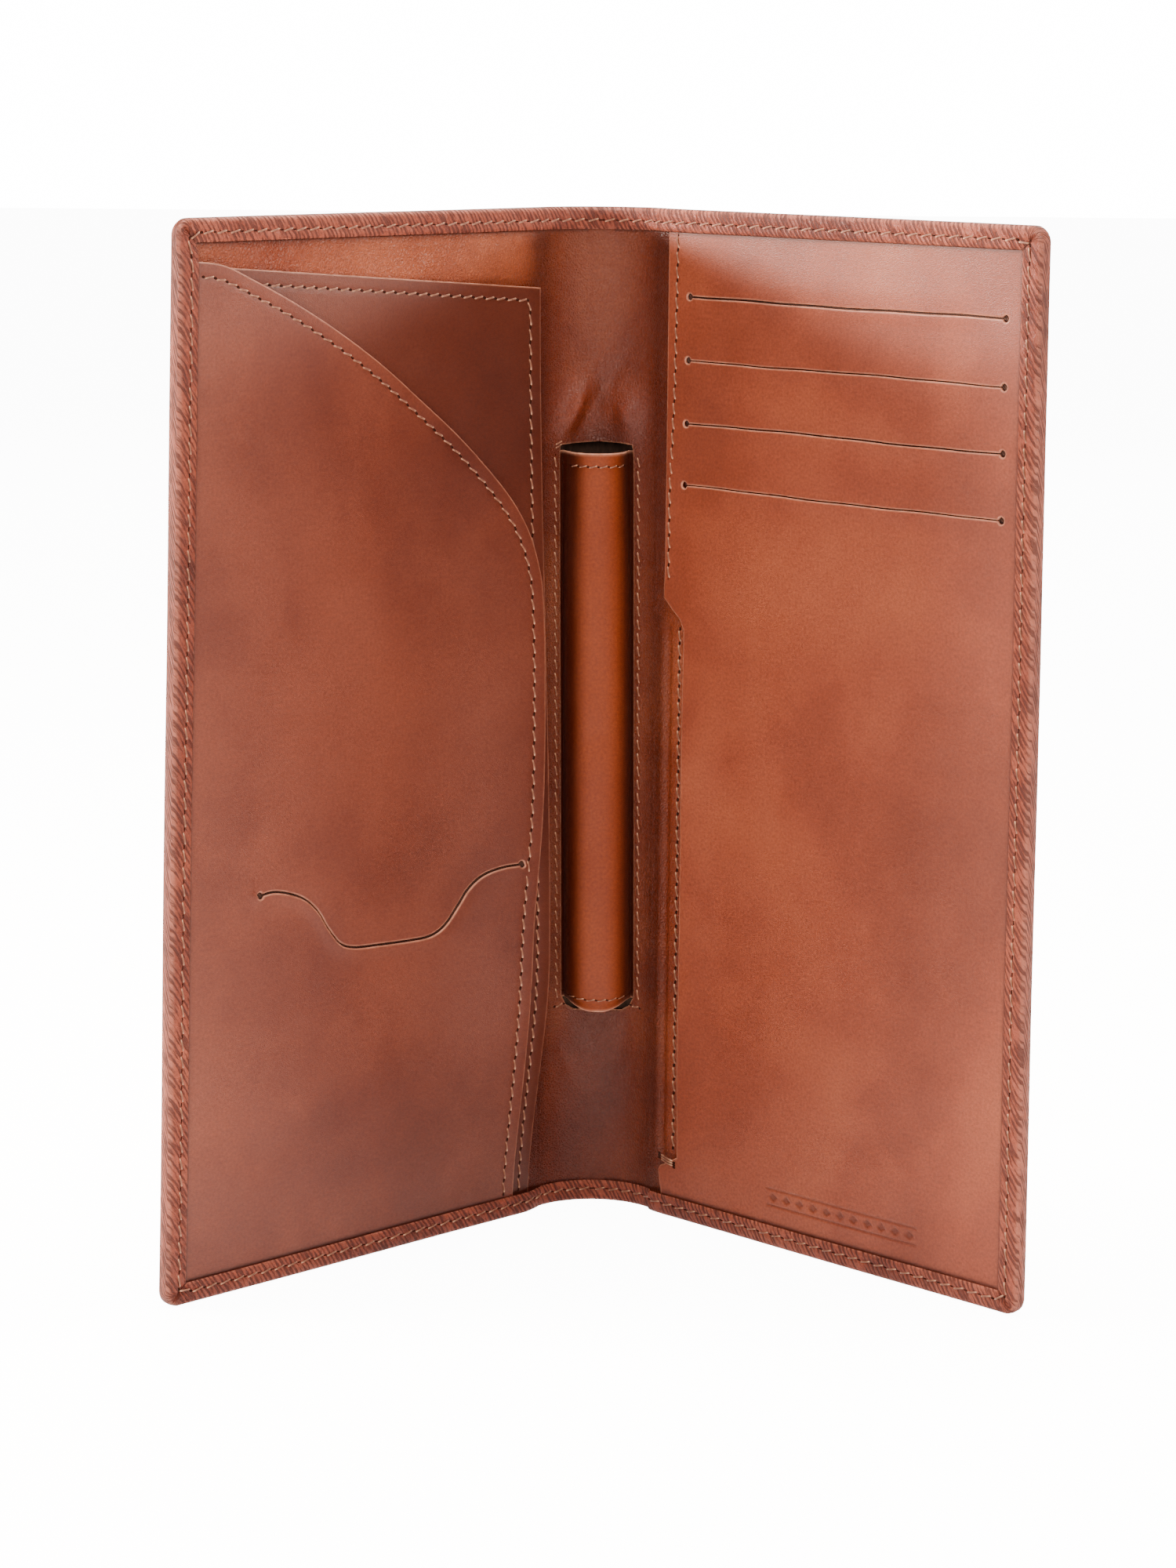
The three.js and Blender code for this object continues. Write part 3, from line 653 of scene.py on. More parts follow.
# Creases below the loop: depth, place across and up, slope, width, and the height where they fade.
VEES = [(0.00016, -0.0008, 0.021, 1.9, 0.0030, 0.036), (0.00014, 0.0010, 0.030, 1.5, 0.0024, 0.038)]
PLEAT_PITCH = 0.0016
LINING_OUTLINE_STEP = 0.0015
FINE_STEP = 0.0007              # between points where the lining swells or is creased


def smooth_calf(name, light, middle, deep, wear_and_glint, roughness, coat, gloss, cloud=20.0, cells=2600.0,
                wrinkle=0.5, relief=0.00004):
    """Glazed calf: clouded dye under a soft gloss, with a fine grain of this relief and rubbed raw edges.

    A mask darkens it towards a deep tone: painted shade in recesses, creases and along hems, and the scorch
    of tooling.
    """
    material, wire, shader = new_material(name, roughness, Coat_Weight=coat, Coat_Roughness=0.28,
                                          Specular_IOR_Level=gloss)
    vector = wire.hide()
    dye = wire.effect(dye_clouds, {"Vector": vector, "Light": light, "Middle": middle, "Deep": deep,
                                   "Cloud Scale": cloud, "Mottle": 0.3})[0]
    grain = wire.effect(hide_grain, {"Vector": vector, "Cell Scale": cells, "Wrinkle": wrinkle})
    color = wire.mix(wire.math("MULTIPLY", grain["Valley"], 0.12), dye, deep)
    # the deep tone for painted shade, and for the tooling's scorch
    shade_and_scorch_tone = (deep[0] * 0.35, deep[1] * 0.3, deep[2] * 0.3, 1)
    color = wire.mix(wire.mask("shade_and_scorch"), color, shade_and_scorch_tone)
    color = wire.effect(edge_wear, {"Vector": vector, "Color": color, "Worn": wear_and_glint,
                                    "Rub": wire.mask("rub_and_glint"), "Amount": 0.95})[0]
    wire.join(color, shader["Base Color"])
    smear = wire.noise(vector, 45.0, 3.0, 0.5, 0.8)
    wire.join(wire.spread(smear, 0.3, 0.7, roughness - 0.06, roughness + 0.1), shader["Roughness"])
    bump = wire.node("ShaderNodeBump", {},
                     {"Height": grain["Height"], "Strength": 1.0, "Distance": relief})
    wire.join(bump["Normal"], shader["Normal"])
    return material


def spine_puckers(s, z):
    """Soft swellings above the pen loop, creases below it, and fine pleats along the cover creases."""
    level = 0
    for rise, across, up, slant, half_width, half_height in PUCKERS:
        level = level + rise * dip(s - across - slant * (z - up), half_width) * dip(z - up, half_height)
    for depth, across, up, slope, width, fade in VEES:
        crease = dip(z - up - slope * np.abs(s - across), width) * (1 - ease(fade, 0.045, z))
        level = level - depth * crease
    pleat = 0.00004 * np.cos((np.abs(s) - half_arc) * 2 * math.pi / PLEAT_PITCH)
    pleat = pleat * dip(np.abs(s) - half_arc + 0.0015, 0.0024) * (0.5 + 0.5 * np.sin(z * 90))
    return level + pleat


def mouth_folds(s, z):
    """Beside the side pocket's mouth the lining lies in two long soft folds with a furrow between."""
    u = s - half_arc
    ridge = 0.00022 * dip(u - 0.0010, 0.0009) - 0.00020 * dip(u - 0.0029, 0.0007)
    ledge = 0.00022 * (ease(0.0032, 0.0042, u) - ease(0.0058, 0.0068, u))
    return (ridge + ledge) * ease(0.0120, 0.0145, z) * (1 - ease(0.1340, 0.1380, z))


def lining_face(s, z, edge):
    """The lining lies lower on the covers than on the spine, and lifts a little above the loop's mouth."""
    on_spine = 1 - ease(half_arc - 0.002, half_arc + 0.003, np.abs(s))
    base = COVER_LINING_LEVEL + (SPINE_LINING_LEVEL - COVER_LINING_LEVEL) * on_spine
    open_lip = 0.0005 * dip(edge, 0.0015) * dip(z - WINDOW_TOP, 0.002) * (np.abs(s) < WINDOW_REACH)
    return base + spine_puckers(s, z) * on_spine + mouth_folds(s, z) + open_lip


lining_calf = smooth_calf("lining_calf", light=(0.36, 0.094, 0.040, 1), middle=(0.20, 0.036, 0.012, 1),
                          deep=(0.105, 0.016, 0.007, 1), wear_and_glint=(0.55, 0.25, 0.15, 1), roughness=0.35,
                          coat=0.08, gloss=0.28, cells=1350.0, wrinkle=1.4, relief=0.0002)


def lean(z):
    """How far the loop and its window are shifted sideways at a height."""
    return np.interp(z, (WINDOW_LOW, WINDOW_TOP), LOOP_LEAN)


def hem_shadow(s, z):
    """A painted shadow line along the hem's inner edge, under the hem's lip."""
    from_edge = np.minimum(reach - np.abs(s), np.minimum(z, height - z))
    return 0.8 * dip(from_edge - HEM - 0.0002, 0.0005)


def spine_shade(s, z):
    """Painted shade darkens the lining over the spine, most along the creases, and is lifted off the
    swellings as a painted highlight.
    """
    out = np.abs(s)
    shade = 0.5 * (1 - ease(half_arc, half_arc + 0.006, out)) + 0.22 * dip(out - half_arc + 0.001, 0.003)
    # painted highlight: the shade is taken off the swellings above the loop
    shade = shade * (1 - 0.75 * dip(z - 0.1845, 0.0065) * dip(out - 0.0066, 0.0055))
    return np.maximum(shade, hem_shadow(s, z))


for side, node in ((-1, "lining_left"), (1, "lining_right")):
    top_reach, low_reach = (WINDOW_REACH + side * shift for shift in LOOP_LEAN[::-1])
    window_side = [(across, WINDOW_TOP + up) for across, up in WINDOW_HEAD] + [(top_reach, WINDOW_TOP)]
    window_side += [(low_reach - back, WINDOW_LOW + up) for back, up in WINDOW_FOOT]
    window_side += [(0, WINDOW_LOW - 0.0006)]
    outer = [(0, TUCK), (reach - TUCK, TUCK), (reach - TUCK, height - TUCK), (0, height - TUCK)]
    outline = even_points([(side * s, z) for s, z in outer + window_side], LINING_OUTLINE_STEP)
    creases_end = half_arc + (0.0035 if side < 0 else 0.0075)   # the right one runs on to the mouth's folds
    creased = side * np.arange(half_arc - 0.0055, creases_end, 0.0004)
    spine_columns = side * np.arange(0.0006, half_arc - 0.0055, FINE_STEP)
    columns = np.concatenate([creased, spine_columns])
    swollen = [(side * s, z) for s in np.arange(0.0004, 0.014, FINE_STEP)
               for z in np.arange(0.1785, 0.2, FINE_STEP)]
    lining = cut_panel("inner_" + node, outline, lining_face, LINING, lining_calf, rings=HEM_RINGS,
                       cell=0.0016, columns=columns, extra=swollen, shade_and_scorch=spine_shade, shift=(0.21, 0.4))
    bend_at_crease(lining)
    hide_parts(node, "lining_spine")

# ---------------------------------------------------------------- pen loop
# A strip of glazed calf is formed into a tube for a slim pen. Its side flanges go under the spine lining
# and are sewn through it. Both ends are turned and stitched across.
LOOP_HALF_WIDTH = 0.0077
LOOP_THICKNESS = 0.0007
LOOP_FLANGE = 0.0122
FLANGE_LEVEL = 0.0018
LOOP_SQUARENESS = 0.9           # 1 is an ellipse, and less is squarer
LOOP_END_TAPER = 0.0045
LOOP_MOUTH_TAPER = 0.035
FOOT_NARROWING, MOUTH_NARROWING = 0.06, 0.09
FOOT_FLATTENING = 0.16
FOOT_ROUNDING = 0.0019          # the foot's corners are cut this much higher than its middle
LOOP_HEM = 0.003                # from an end to the stitching across it
LOOP_POINTS = 90

loop_low, loop_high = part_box("pen_loop")


def loop_curve():
    """The strip's outer line round one section, from the middle of its front to a flange's end."""
    root = wallet(LOOP_HALF_WIDTH, FLANGE_LEVEL, height / 2)[1]
    front = loop_low.y + 0.0002
    angle = np.radians(np.linspace(90, 0, 60))
    tube_x = LOOP_HALF_WIDTH * np.cos(angle) ** LOOP_SQUARENESS
    tube_y = root - (root - front) * np.sin(angle) ** LOOP_SQUARENESS
    flange = wallet(np.linspace(LOOP_HALF_WIDTH + 0.0014, LOOP_FLANGE, 12), FLANGE_LEVEL, height / 2)
    x = np.concatenate([tube_x, flange[:, 0]])
    y = np.concatenate([tube_y, flange[:, 1]])
    run = np.concatenate([[0], np.cumsum(np.hypot(np.diff(x), np.diff(y)))])
    even = np.linspace(0, run[-1], LOOP_POINTS)
    return even, np.interp(even, run, x), np.interp(even, run, y), root


loop_run, loop_x, loop_y, loop_root = loop_curve()


def loop_point(around, z, lift):
    """The point at distance around the loop from its front's middle, at height z, lifted off its face."""
    around, z = np.broadcast_arrays(np.asarray(around, float), np.asarray(z, float))
    out = np.abs(around)
    x = np.interp(out, loop_run, loop_x)
    y = np.interp(out, loop_run, loop_y)
    ahead = np.interp(out + 0.0003, loop_run, loop_x) - np.interp(out - 0.0003, loop_run, loop_x)
    back = np.interp(out + 0.0003, loop_run, loop_y) - np.interp(out - 0.0003, loop_run, loop_y)
    length = np.maximum(np.hypot(ahead, back), 1e-9)
    x = x + lift * back / length
    y = y - lift * ahead / length
    near_low = 1 - ease(loop_low.z, loop_low.z + LOOP_END_TAPER, z)
    near_high = ease(loop_high.z - LOOP_MOUTH_TAPER, loop_high.z, z)
    tube = 1 - ease(0, 0.003, y - loop_root + 0.003)
    narrowing = FOOT_NARROWING * near_low ** 2 + MOUTH_NARROWING * near_high
    x = np.where(around < 0, -1, 1) * x * (1 - tube * narrowing)
    y = loop_root + (y - loop_root) * (1 - FOOT_FLATTENING * near_low ** 2)
    turn = lean(z) / spine_radius
    from_centre = y - (crease_y + arch - spine_radius)
    across = x * np.cos(turn) + from_centre * np.sin(turn)
    deep = y + from_centre * (np.cos(turn) - 1) - x * np.sin(turn)
    return np.stack([across, deep, z + FOOT_ROUNDING * near_low * ease(0.001, 0.010, out)], -1)


def make_pen_loop(material):
    """The formed strip, its cut ends softened and drawn in along the stitching across them."""
    around = np.concatenate([-loop_run[:0:-1], loop_run])
    ends = np.array([0, 0.0001, 0.00035, 0.0008, 0.0016, 0.0024, 0.0028, 0.0031, 0.0035, 0.0045])
    rise = np.concatenate([loop_low.z + ends, np.linspace(loop_low.z + 0.006, loop_high.z - 0.006, 60),
                           loop_high.z - ends[::-1]])
    verts = []
    layout = []
    rub_and_glint = []
    for z in rise:
        end = min(z - loop_low.z, loop_high.z - z)
        pinch = 0.00018 * math.exp(-end / 0.00012)
        sewn = 0.00012 * dip(end - LOOP_HEM, 0.0003)
        outer = loop_point(around, z, -pinch - sewn)
        inner = loop_point(around[::-1], z, -LOOP_THICKNESS + pinch)
        verts.append(np.concatenate([outer, inner]))
        flat = np.concatenate([around, around[::-1] + 0.1])
        layout.append(np.stack([flat + 0.7, np.full(flat.size, z)], -1))
        rub_and_glint.append(np.full(flat.size, math.exp(-(end / 0.0003) ** 2)))
    count = around.size
    size = 2 * count
    last = (len(rise) - 1) * size
    faces = []
    for base in range(0, last, size):
        for i in range(size):
            after = (i + 1) % size
            faces.append((base + i, base + after, base + size + after, base + size + i))
    for base, flip in ((0, 1), (last, -1)):
        for i in range(count - 1):
            quad = (base + i, base + size - 1 - i, base + size - 2 - i, base + i + 1)
            faces.append(quad[::flip])
    piece = add_mesh("pen_loop_strip", np.concatenate(verts), faces, np.concatenate(layout), material,
                     np.concatenate(rub_and_glint))
    # painted shade: the loop is darkened towards its sides, away from a bright middle set a little off
    # centre to follow the light
    from_middle = np.abs(np.concatenate([around, around[::-1]]) - 0.0009)
    add_mask(piece, "shade_and_scorch", np.tile(0.94 * ease(0.0028, 0.0080, from_middle), len(rise)))
    return close_up(piece)


loop_calf = smooth_calf("loop_calf", light=(0.23, 0.040, 0.007, 1), middle=(0.17, 0.025, 0.004, 1),
                        deep=(0.11, 0.014, 0.003, 1), wear_and_glint=(0.72, 0.34, 0.22, 1), roughness=0.46,
                        coat=0.0, gloss=0.24, cloud=12.0)
loop = make_pen_loop(loop_calf)
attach(loop, "spine")
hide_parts("pen_loop")

# ---------------------------------------------------------------- pen loop's seams
# Single lockstitches in waxed brown thread hold the loop's flanges, and cross its two ends. Each stitch
# rises out of one awl hole and dives into the next, slightly askew, with a painted highlight where it
# turns, and a dark oval of painted shade marks the hole beside it.
THREAD_RADIUS = 0.00021
STITCH_SKEW = 0.2               # sideways share of a stitch's length
STITCH_SHARE = np.array([0, 0.03, 0.1, 0.3, 0.5, 0.7, 0.9, 0.97, 1])
STITCH_GIRTH = np.array([0.05, 0.6, 0.95, 1, 1.05, 1, 0.95, 0.6, 0.05])
STITCH_SIDES = 6
HOLE_SIDES = 8
HOLE_LENGTH, HOLE_WIDTH = 2.2, 1.35   # half an awl hole's size, in thread radii
LOOP_PITCH = 0.0031
LOOP_SEAM = 0.0111              # the flange seams' distance from the loop's middle
LOOP_SEAM_LOW = 0.0485
LOOP_SEAM_HIGH = 0.1745
CORNER_TACK_OUT, CORNER_TACK_IN = 0.0116, 0.0090   # cross stitches run in from the flange seams' ends
CORNER_TACK_HEIGHTS = (LOOP_SEAM_HIGH + 0.0018, LOOP_SEAM_HIGH + 0.0026, LOOP_SEAM_LOW - 0.0016)
CORNER_TACK_RISE = 0.0004
LOOP_HEM_REACH = 0.0078
LOOP_HEM_PITCH = 0.0026
LOOP_HEM_THREAD = 0.00015


def waxed_thread():
    """Twisted polyester thread, darker where it is tight, with a painted highlight where it turns at a
    hole.
    """
    material, wire, shader = new_material("waxed_thread", 0.55, Sheen_Weight=0.15)
    vector = wire.node("ShaderNodeTexCoord", {}, {})["Object"]
    twist = wire.noise(wire.stretch(vector, 5000.0, 5000.0), 1.0, 2.0)
    color = wire.mix(wire.spread(twist, 0.3, 0.7), (0.13, 0.036, 0.015, 1), (0.26, 0.085, 0.038, 1))
    # painted highlight where the thread turns at a hole
    color = wire.mix(wire.math("MULTIPLY", wire.mask("rub_and_glint"), 0.7), color, (0.72, 0.38, 0.22, 1))
    wire.join(color, shader["Base Color"])
    bump = wire.node("ShaderNodeBump", {}, {"Height": twist, "Strength": 0.5, "Distance": 0.00008})
    wire.join(bump["Normal"], shader["Normal"])
    return material


def awl_hole_shade():
    """A dark oval of painted shade laid at each needle hole, with a little crushed fibre."""
    material, wire, shader = new_material("awl_hole_shade", 0.95, Specular_IOR_Level=0.05)
    vector = wire.node("ShaderNodeTexCoord", {}, {})["Object"]
    fibre = wire.noise(vector, 9000.0, 2.0)
    color = wire.mix(wire.spread(fibre, 0.3, 0.8), (0.012, 0.004, 0.003, 1), (0.06, 0.02, 0.012, 1))
    wire.join(color, shader["Base Color"])
    return material


thread = waxed_thread()
hole = awl_hole_shade()


def holes_along(path, pitch):
    """Points a pitch apart along an open path, so that the row ends exactly at its ends."""
    path = np.array(path, float)
    run = np.concatenate([[0], np.cumsum(np.linalg.norm(np.diff(path, axis=0), axis=1))])
    places = np.linspace(0, run[-1], max(1, round(run[-1] / pitch)) + 1)
    return np.stack([np.interp(places, run, path[:, 0]), np.interp(places, run, path[:, 1])], -1)


def one_stitch(start, end, surface, radius, skew):
    """The points, faces and painted highlight mask of a stitch that humps from one hole to the next."""
    length = np.linalg.norm(end - start)
    along = (end - start) / length
    side = np.array([-along[1], along[0]])
    angle = np.radians(np.linspace(0, 360, STITCH_SIDES, endpoint=False))
    girth = STITCH_GIRTH[:, None]
    rise = -1.1 + 1.7 * np.sin(np.pi * STITCH_SHARE) ** 0.45
    middle = start + np.outer(0.1 + 0.8 * STITCH_SHARE, end - start)
    middle = middle + np.outer((STITCH_SHARE - 0.5) * skew * length, side)
    place = middle[:, None, :] + (girth * np.cos(angle) * radius)[..., None] * side
    lift = (rise[:, None] + girth * np.sin(angle)) * radius
    faces = []
    rings = [range(k, k + STITCH_SIDES) for k in range(0, lift.size, STITCH_SIDES)]
    for ring, following in zip(rings, rings[1:]):
        for i in range(STITCH_SIDES):
            j = (i + 1) % STITCH_SIDES
            faces.append((ring[i], ring[j], following[j], following[i]))
    faces += [tuple(rings[0][::-1]), tuple(rings[-1])]
    # painted highlight near the stitch's ends, where it turns at the holes
    wear_and_glint = dip(STITCH_SHARE - 0.9, 0.14) + 0.5 * dip(STITCH_SHARE - 0.08, 0.1)
    return surface(place[..., 0], place[..., 1], lift).reshape(-1, 3), faces, np.repeat(wear_and_glint, STITCH_SIDES)


def one_hole(point, forward, surface, radius):
    """The points, faces and an empty wear mask of an awl hole: a small dark oval of painted shade, longer
    along the seam.
    """
    angle = np.radians(np.linspace(0, 360, HOLE_SIDES, endpoint=False))
    rim = point + np.outer(np.cos(angle) * radius * HOLE_LENGTH, forward)
    rim = rim + np.outer(np.sin(angle) * radius * HOLE_WIDTH, forward[::-1] * (-1, 1))
    faces = []
    for i in range(HOLE_SIDES):
        j = (i + 1) % HOLE_SIDES
        faces += [(i, j, HOLE_SIDES), (j, i, HOLE_SIDES + 1)]
    points = [surface(rim[:, 0], rim[:, 1], 0.00001)]
    points += [surface(point[:1], point[1:], lift).reshape(1, 3) for lift in (0.00003, -0.0001)]
    return np.concatenate(points), faces, np.zeros(HOLE_SIDES + 2)


def sew(name, rows, surface, radius=THREAD_RADIUS, skew=STITCH_SKEW):
    """One mesh of stitches along rows of holes. surface(a, b, lift) is a point off the leather's face."""
    parts = []
    for row in rows:
        parts += [(*one_stitch(start, end, surface, radius, skew), 0) for start, end in zip(row, row[1:])]
        ahead = np.gradient(row, axis=0)
        ahead /= np.linalg.norm(ahead, axis=1)[:, None]
        parts += [(*one_hole(point, step, surface, radius), 1) for point, step in zip(row, ahead)]
    verts = np.concatenate([points for points, *_ in parts])
    rub_and_glint = np.concatenate([wear_and_glint for _, _, wear_and_glint, _ in parts])
    faces = []
    kinds = []
    first = 0
    for points, shape, _, kind in parts:
        faces += [tuple(first + i for i in face) for face in shape]
        kinds += [kind] * len(shape)
        first += len(points)
    piece = add_mesh(name, verts, faces, verts[:, [0, 2]], thread, rub_and_glint)
    piece.data.materials.append(hole)
    piece.data.polygons.foreach_set("material_index", kinds)
    bm = bmesh.new()
    bm.from_mesh(piece.data)
    bmesh.ops.recalc_face_normals(bm, faces=bm.faces)
    bm.to_mesh(piece.data)
    bm.free()
    return piece


def on_lining(s, z, lift):
    """A point off the lining's face."""
    return wallet(s, lining_face(s, z, np.full(np.shape(s), 1.0)) + lift, z)


for side, node in ((-1, "pen_loop_seam_left"), (1, "pen_loop_seam_right")):
    ends = [(side * LOOP_SEAM + lean(z), z) for z in (LOOP_SEAM_LOW, LOOP_SEAM_HIGH)]
    seam = sew("stitches_" + node, [holes_along(ends, LOOP_PITCH)], on_lining)
    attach(seam, "spine")
    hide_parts(node)

corner_tacks = []
for side in (-1, 1):
    for z in CORNER_TACK_HEIGHTS:
        outer_end = (side * CORNER_TACK_OUT + lean(z), z)
        inner_end = (side * CORNER_TACK_IN + lean(z), z + CORNER_TACK_RISE)
        corner_tacks.append(np.array([outer_end, inner_end]))
tacks = sew("stitches_loop_corners", corner_tacks, on_lining)
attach(tacks, "spine")
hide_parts("pen_loop_seam_left", "pen_loop_seam_right")

loop_ends = [("pen_loop_hem_seam_bottom", loop_low.z + LOOP_HEM),
             ("pen_loop_hem_seam_top", loop_high.z - LOOP_HEM)]
for node, z in loop_ends:
    row = holes_along([(-LOOP_HEM_REACH, z), (LOOP_HEM_REACH, z)], LOOP_HEM_PITCH)
    seam = sew("stitches_" + node, [row], loop_point, radius=LOOP_HEM_THREAD)
    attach(seam, "spine")
    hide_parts(node)

# ---------------------------------------------------------------- back pocket
# The rear pocket of the left cover is a straight-topped calf panel, sewn in under the hem at the outer
# edge and bottom. Its crease edge hangs free and bows away from the lining.
PANEL = 0.0005
BACK_LEVEL = 0.00236
BACK_EDGE = 0.0018              # from the crease to the free edge
BACK_TOP_OUTER = 0.2206
BACK_TOP_CREASE = 0.2124
POCKET_TUCK = 0.0022
POCKET_BOW, POCKET_BOW_LOST = 0.0064, 0.0045   # it stands off by this, less this at the top
POCKET_STITCH_INSET = 0.003
POCKET_PITCH = 0.0033
SEAM_TUCK = 0.0006              # a pocket's seam stops this far short of the hem
THREAD_BED = 0.00006            # a stitch presses this far into the leather
FURROW = 0.00013
FURROW_STEP = 0.0003
OUTLINE_STEP = 0.0014
PANEL_CELL = 0.003
STITCHED_RINGS = (CUT_ROUNDING, 0.0004, 0.001, 0.0018, 0.0024, 0.0027, 0.003, 0.0033, 0.0037, 0.0046)


def on_left(u, z):
    """From a distance out from the left crease to the distance round the wallet."""
    return -(half_arc + np.asarray(u, float)), z


def pocket_bow(s, z):
    """How far the left cover's pockets stand off it: most at the crease, at a third of their height."""
    u = np.abs(s) - half_arc
    stand = POCKET_BOW * ease(0.001, 0.062, z) - POCKET_BOW_LOST * ease(0.06, 0.215, z)
    return stand * (1 - ease(-0.004, 0.05, u)) ** 1.5


def seam_dent(points, path):
    """The furrow that a seam draws in the leather, a little deeper at each stitch."""
    line = even_points([tuple(p) for p in path], FURROW_STEP, closed=False)
    away, which = nearest(points, tree_of(line))
    pull = 0.7 + 0.3 * np.cos(which * FURROW_STEP * 2 * math.pi / POCKET_PITCH)
    return FURROW * dip(away, 0.0004) * pull


def back_face(s, z):
    """The level of the back pocket's front, before its seam draws it in."""
    return BACK_LEVEL + pocket_bow(s, z)


back_slope = (BACK_TOP_OUTER - BACK_TOP_CREASE) / (cover_width - BACK_EDGE)
inner_top = BACK_TOP_CREASE + back_slope * POCKET_STITCH_INSET - POCKET_STITCH_INSET
pocket_reach = cover_width - POCKET_TUCK
back_corners = [on_left(BACK_EDGE, POCKET_TUCK), on_left(BACK_EDGE, BACK_TOP_CREASE),
                on_left(pocket_reach, BACK_TOP_OUTER), on_left(pocket_reach, POCKET_TUCK)]
back_seam = [on_left(cover_width - HEM - 0.001, BACK_TOP_OUTER - 0.0034),
             on_left(BACK_EDGE + POCKET_STITCH_INSET, inner_top),
             on_left(BACK_EDGE + POCKET_STITCH_INSET, HEM + SEAM_TUCK)]
pocket_calf = smooth_calf("pocket_calf", light=(0.210, 0.050, 0.025, 1), middle=(0.155, 0.033, 0.016, 1),
                          deep=(0.100, 0.019, 0.010, 1), wear_and_glint=(0.58, 0.24, 0.15, 1), roughness=0.40,
                          coat=0.06, gloss=0.34)


def pocket_shade(s, z):
    """Painted shade darkens the pocket leather towards the crease, and along the hem."""
    return np.maximum(0.34 * (1 - ease(0, 0.07, np.abs(s) - half_arc)), hem_shadow(s, z))


back_pocket = cut_panel(
    "back_pocket_panel", even_points(back_corners, OUTLINE_STEP),
    lambda s, z, edge: back_face(s, z) - seam_dent(np.stack([s, z], -1), back_seam),
    PANEL, pocket_calf, rings=STITCHED_RINGS, cell=PANEL_CELL,
    # painted shade: the whole back pocket is darkened, and more towards the crease
    shade_and_scorch=lambda s, z: np.minimum(0.46 + 0.6 * pocket_shade(s, z), 1), shift=(0.9, 0.1))
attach(back_pocket, "left_cover")
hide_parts("back_pocket_left")
seam = sew("stitches_back_pocket", [holes_along(back_seam, POCKET_PITCH)],
           lambda s, z, lift: wallet(s, back_face(s, z) + lift - THREAD_BED, z))
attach(seam, "left_cover")
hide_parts("back_pocket_seam")

# ---------------------------------------------------------------- front pocket
# The front pocket's top sweeps down in one curve from the outer corner to the crease. A slit with a
# thumb-shaped dip, cut through with a knife between two punched holes, opens a second pocket behind it.
FRONT_LEVEL = 0.00318
SLIT_GAP = 0.0005
PUNCH_RADIUS = 0.0008
SLIT_LIPS = (0.00035, -0.0001)  # the lower lip stands proud, and the upper one is pressed in
SLIT_LINER = 0.0001
SLIT_LINER_TOP = 0.096
SLIT_LINER_EDGE = 0.0085
LINER_GAP = 0.00008             # between a panel and the liner behind it
LINER_ROUNDING = 0.00002
LINER_CORNER = 0.001
FRONT_LOOSENESS = 0.0005        # the free edge stands this much further off
# From the outer corner down to the crease, along the free edge and along the slit: out, and up.
SWEEP = [(pocket_reach, 0.2214), (0.095, 0.2203), (0.0855, 0.2166), (0.0735, 0.2112), (0.061, 0.2046),
         (0.049, 0.1973), (0.038, 0.1895), (0.027, 0.1812), (0.018, 0.173), (0.0112, 0.1655),
         (0.0066, 0.158), (0.0040, 0.150), (0.0032, 0.142)]
FREE_EDGE = [(0.0032, 0.125), (0.0042, 0.095), (0.0068, 0.066), (0.0071, 0.03), (0.0072, POCKET_TUCK)]
SLIT = [(0.0826, 0.0865), (0.079, 0.0868), (0.0745, 0.0858), (0.070, 0.0838), (0.0663, 0.0805),
        (0.0635, 0.0765), (0.060, 0.0726), (0.056, 0.0711), (0.050, 0.0706), (0.040, 0.0701),
        (0.034, 0.0703), (0.030, 0.0722), (0.0265, 0.0763), (0.0238, 0.0798), (0.020, 0.0824),
        (0.015, 0.0836), (0.010, 0.0838)]


def smooth_line(points, step):
    """A smooth curve through points, as even short steps."""
    points = np.array(points, float)
    padded = np.concatenate([[2 * points[0] - points[1]], points, [2 * points[-1] - points[-2]]])
    curve = []
    for a, b, c, d in zip(padded, padded[1:], padded[2:], padded[3:]):
        for t in np.linspace(0, 1, 12, endpoint=False):
            curve.append(0.5 * (2 * b + (c - a) * t + (2 * a - 5 * b + 4 * c - d) * t ** 2
                                + (3 * b - a - 3 * c + d) * t ** 3))
    return holes_along(curve + [points[-1]], step)


def beside(path, distance):
    """A path moved sideways, to the left of its direction if the distance is positive."""
    ahead = np.gradient(path, axis=0)
    ahead /= np.linalg.norm(ahead, axis=1)[:, None]
    return path + np.stack([-ahead[:, 1], ahead[:, 0]], -1) * distance


def knife_slit(path, gap, punch):
    """The outline of a narrow cut along a path with a round punched hole at each end."""
    path = np.array(path, float)
    ends = []
    for end, inner in ((path[0], path[1]), (path[-1], path[-2])):
        back = math.atan2(*(inner - end)[::-1])
        spread = math.asin(gap / 2 / punch)
        angles = back + np.linspace(spread, 2 * math.pi - spread, 13)
        ends.append(end + punch * np.stack([np.cos(angles), np.sin(angles)], -1))
    keep = (np.linalg.norm(path - path[0], axis=1) > punch * 1.3) & (
        np.linalg.norm(path - path[-1], axis=1) > punch * 1.3)
    upper, lower = beside(path, gap / 2)[keep], beside(path, -gap / 2)[keep]
    return np.concatenate([ends[0], lower, ends[1], upper[::-1]])


def front_face(s, z):
    """The level of the front pocket's front, before its seam draws it in."""
    u = np.abs(s) - half_arc
    loose = FRONT_LOOSENESS * ease(0.001, 0.03, z) * (1 - ease(0.0, 0.03, u))
    return FRONT_LEVEL + pocket_bow(s, z) + loose


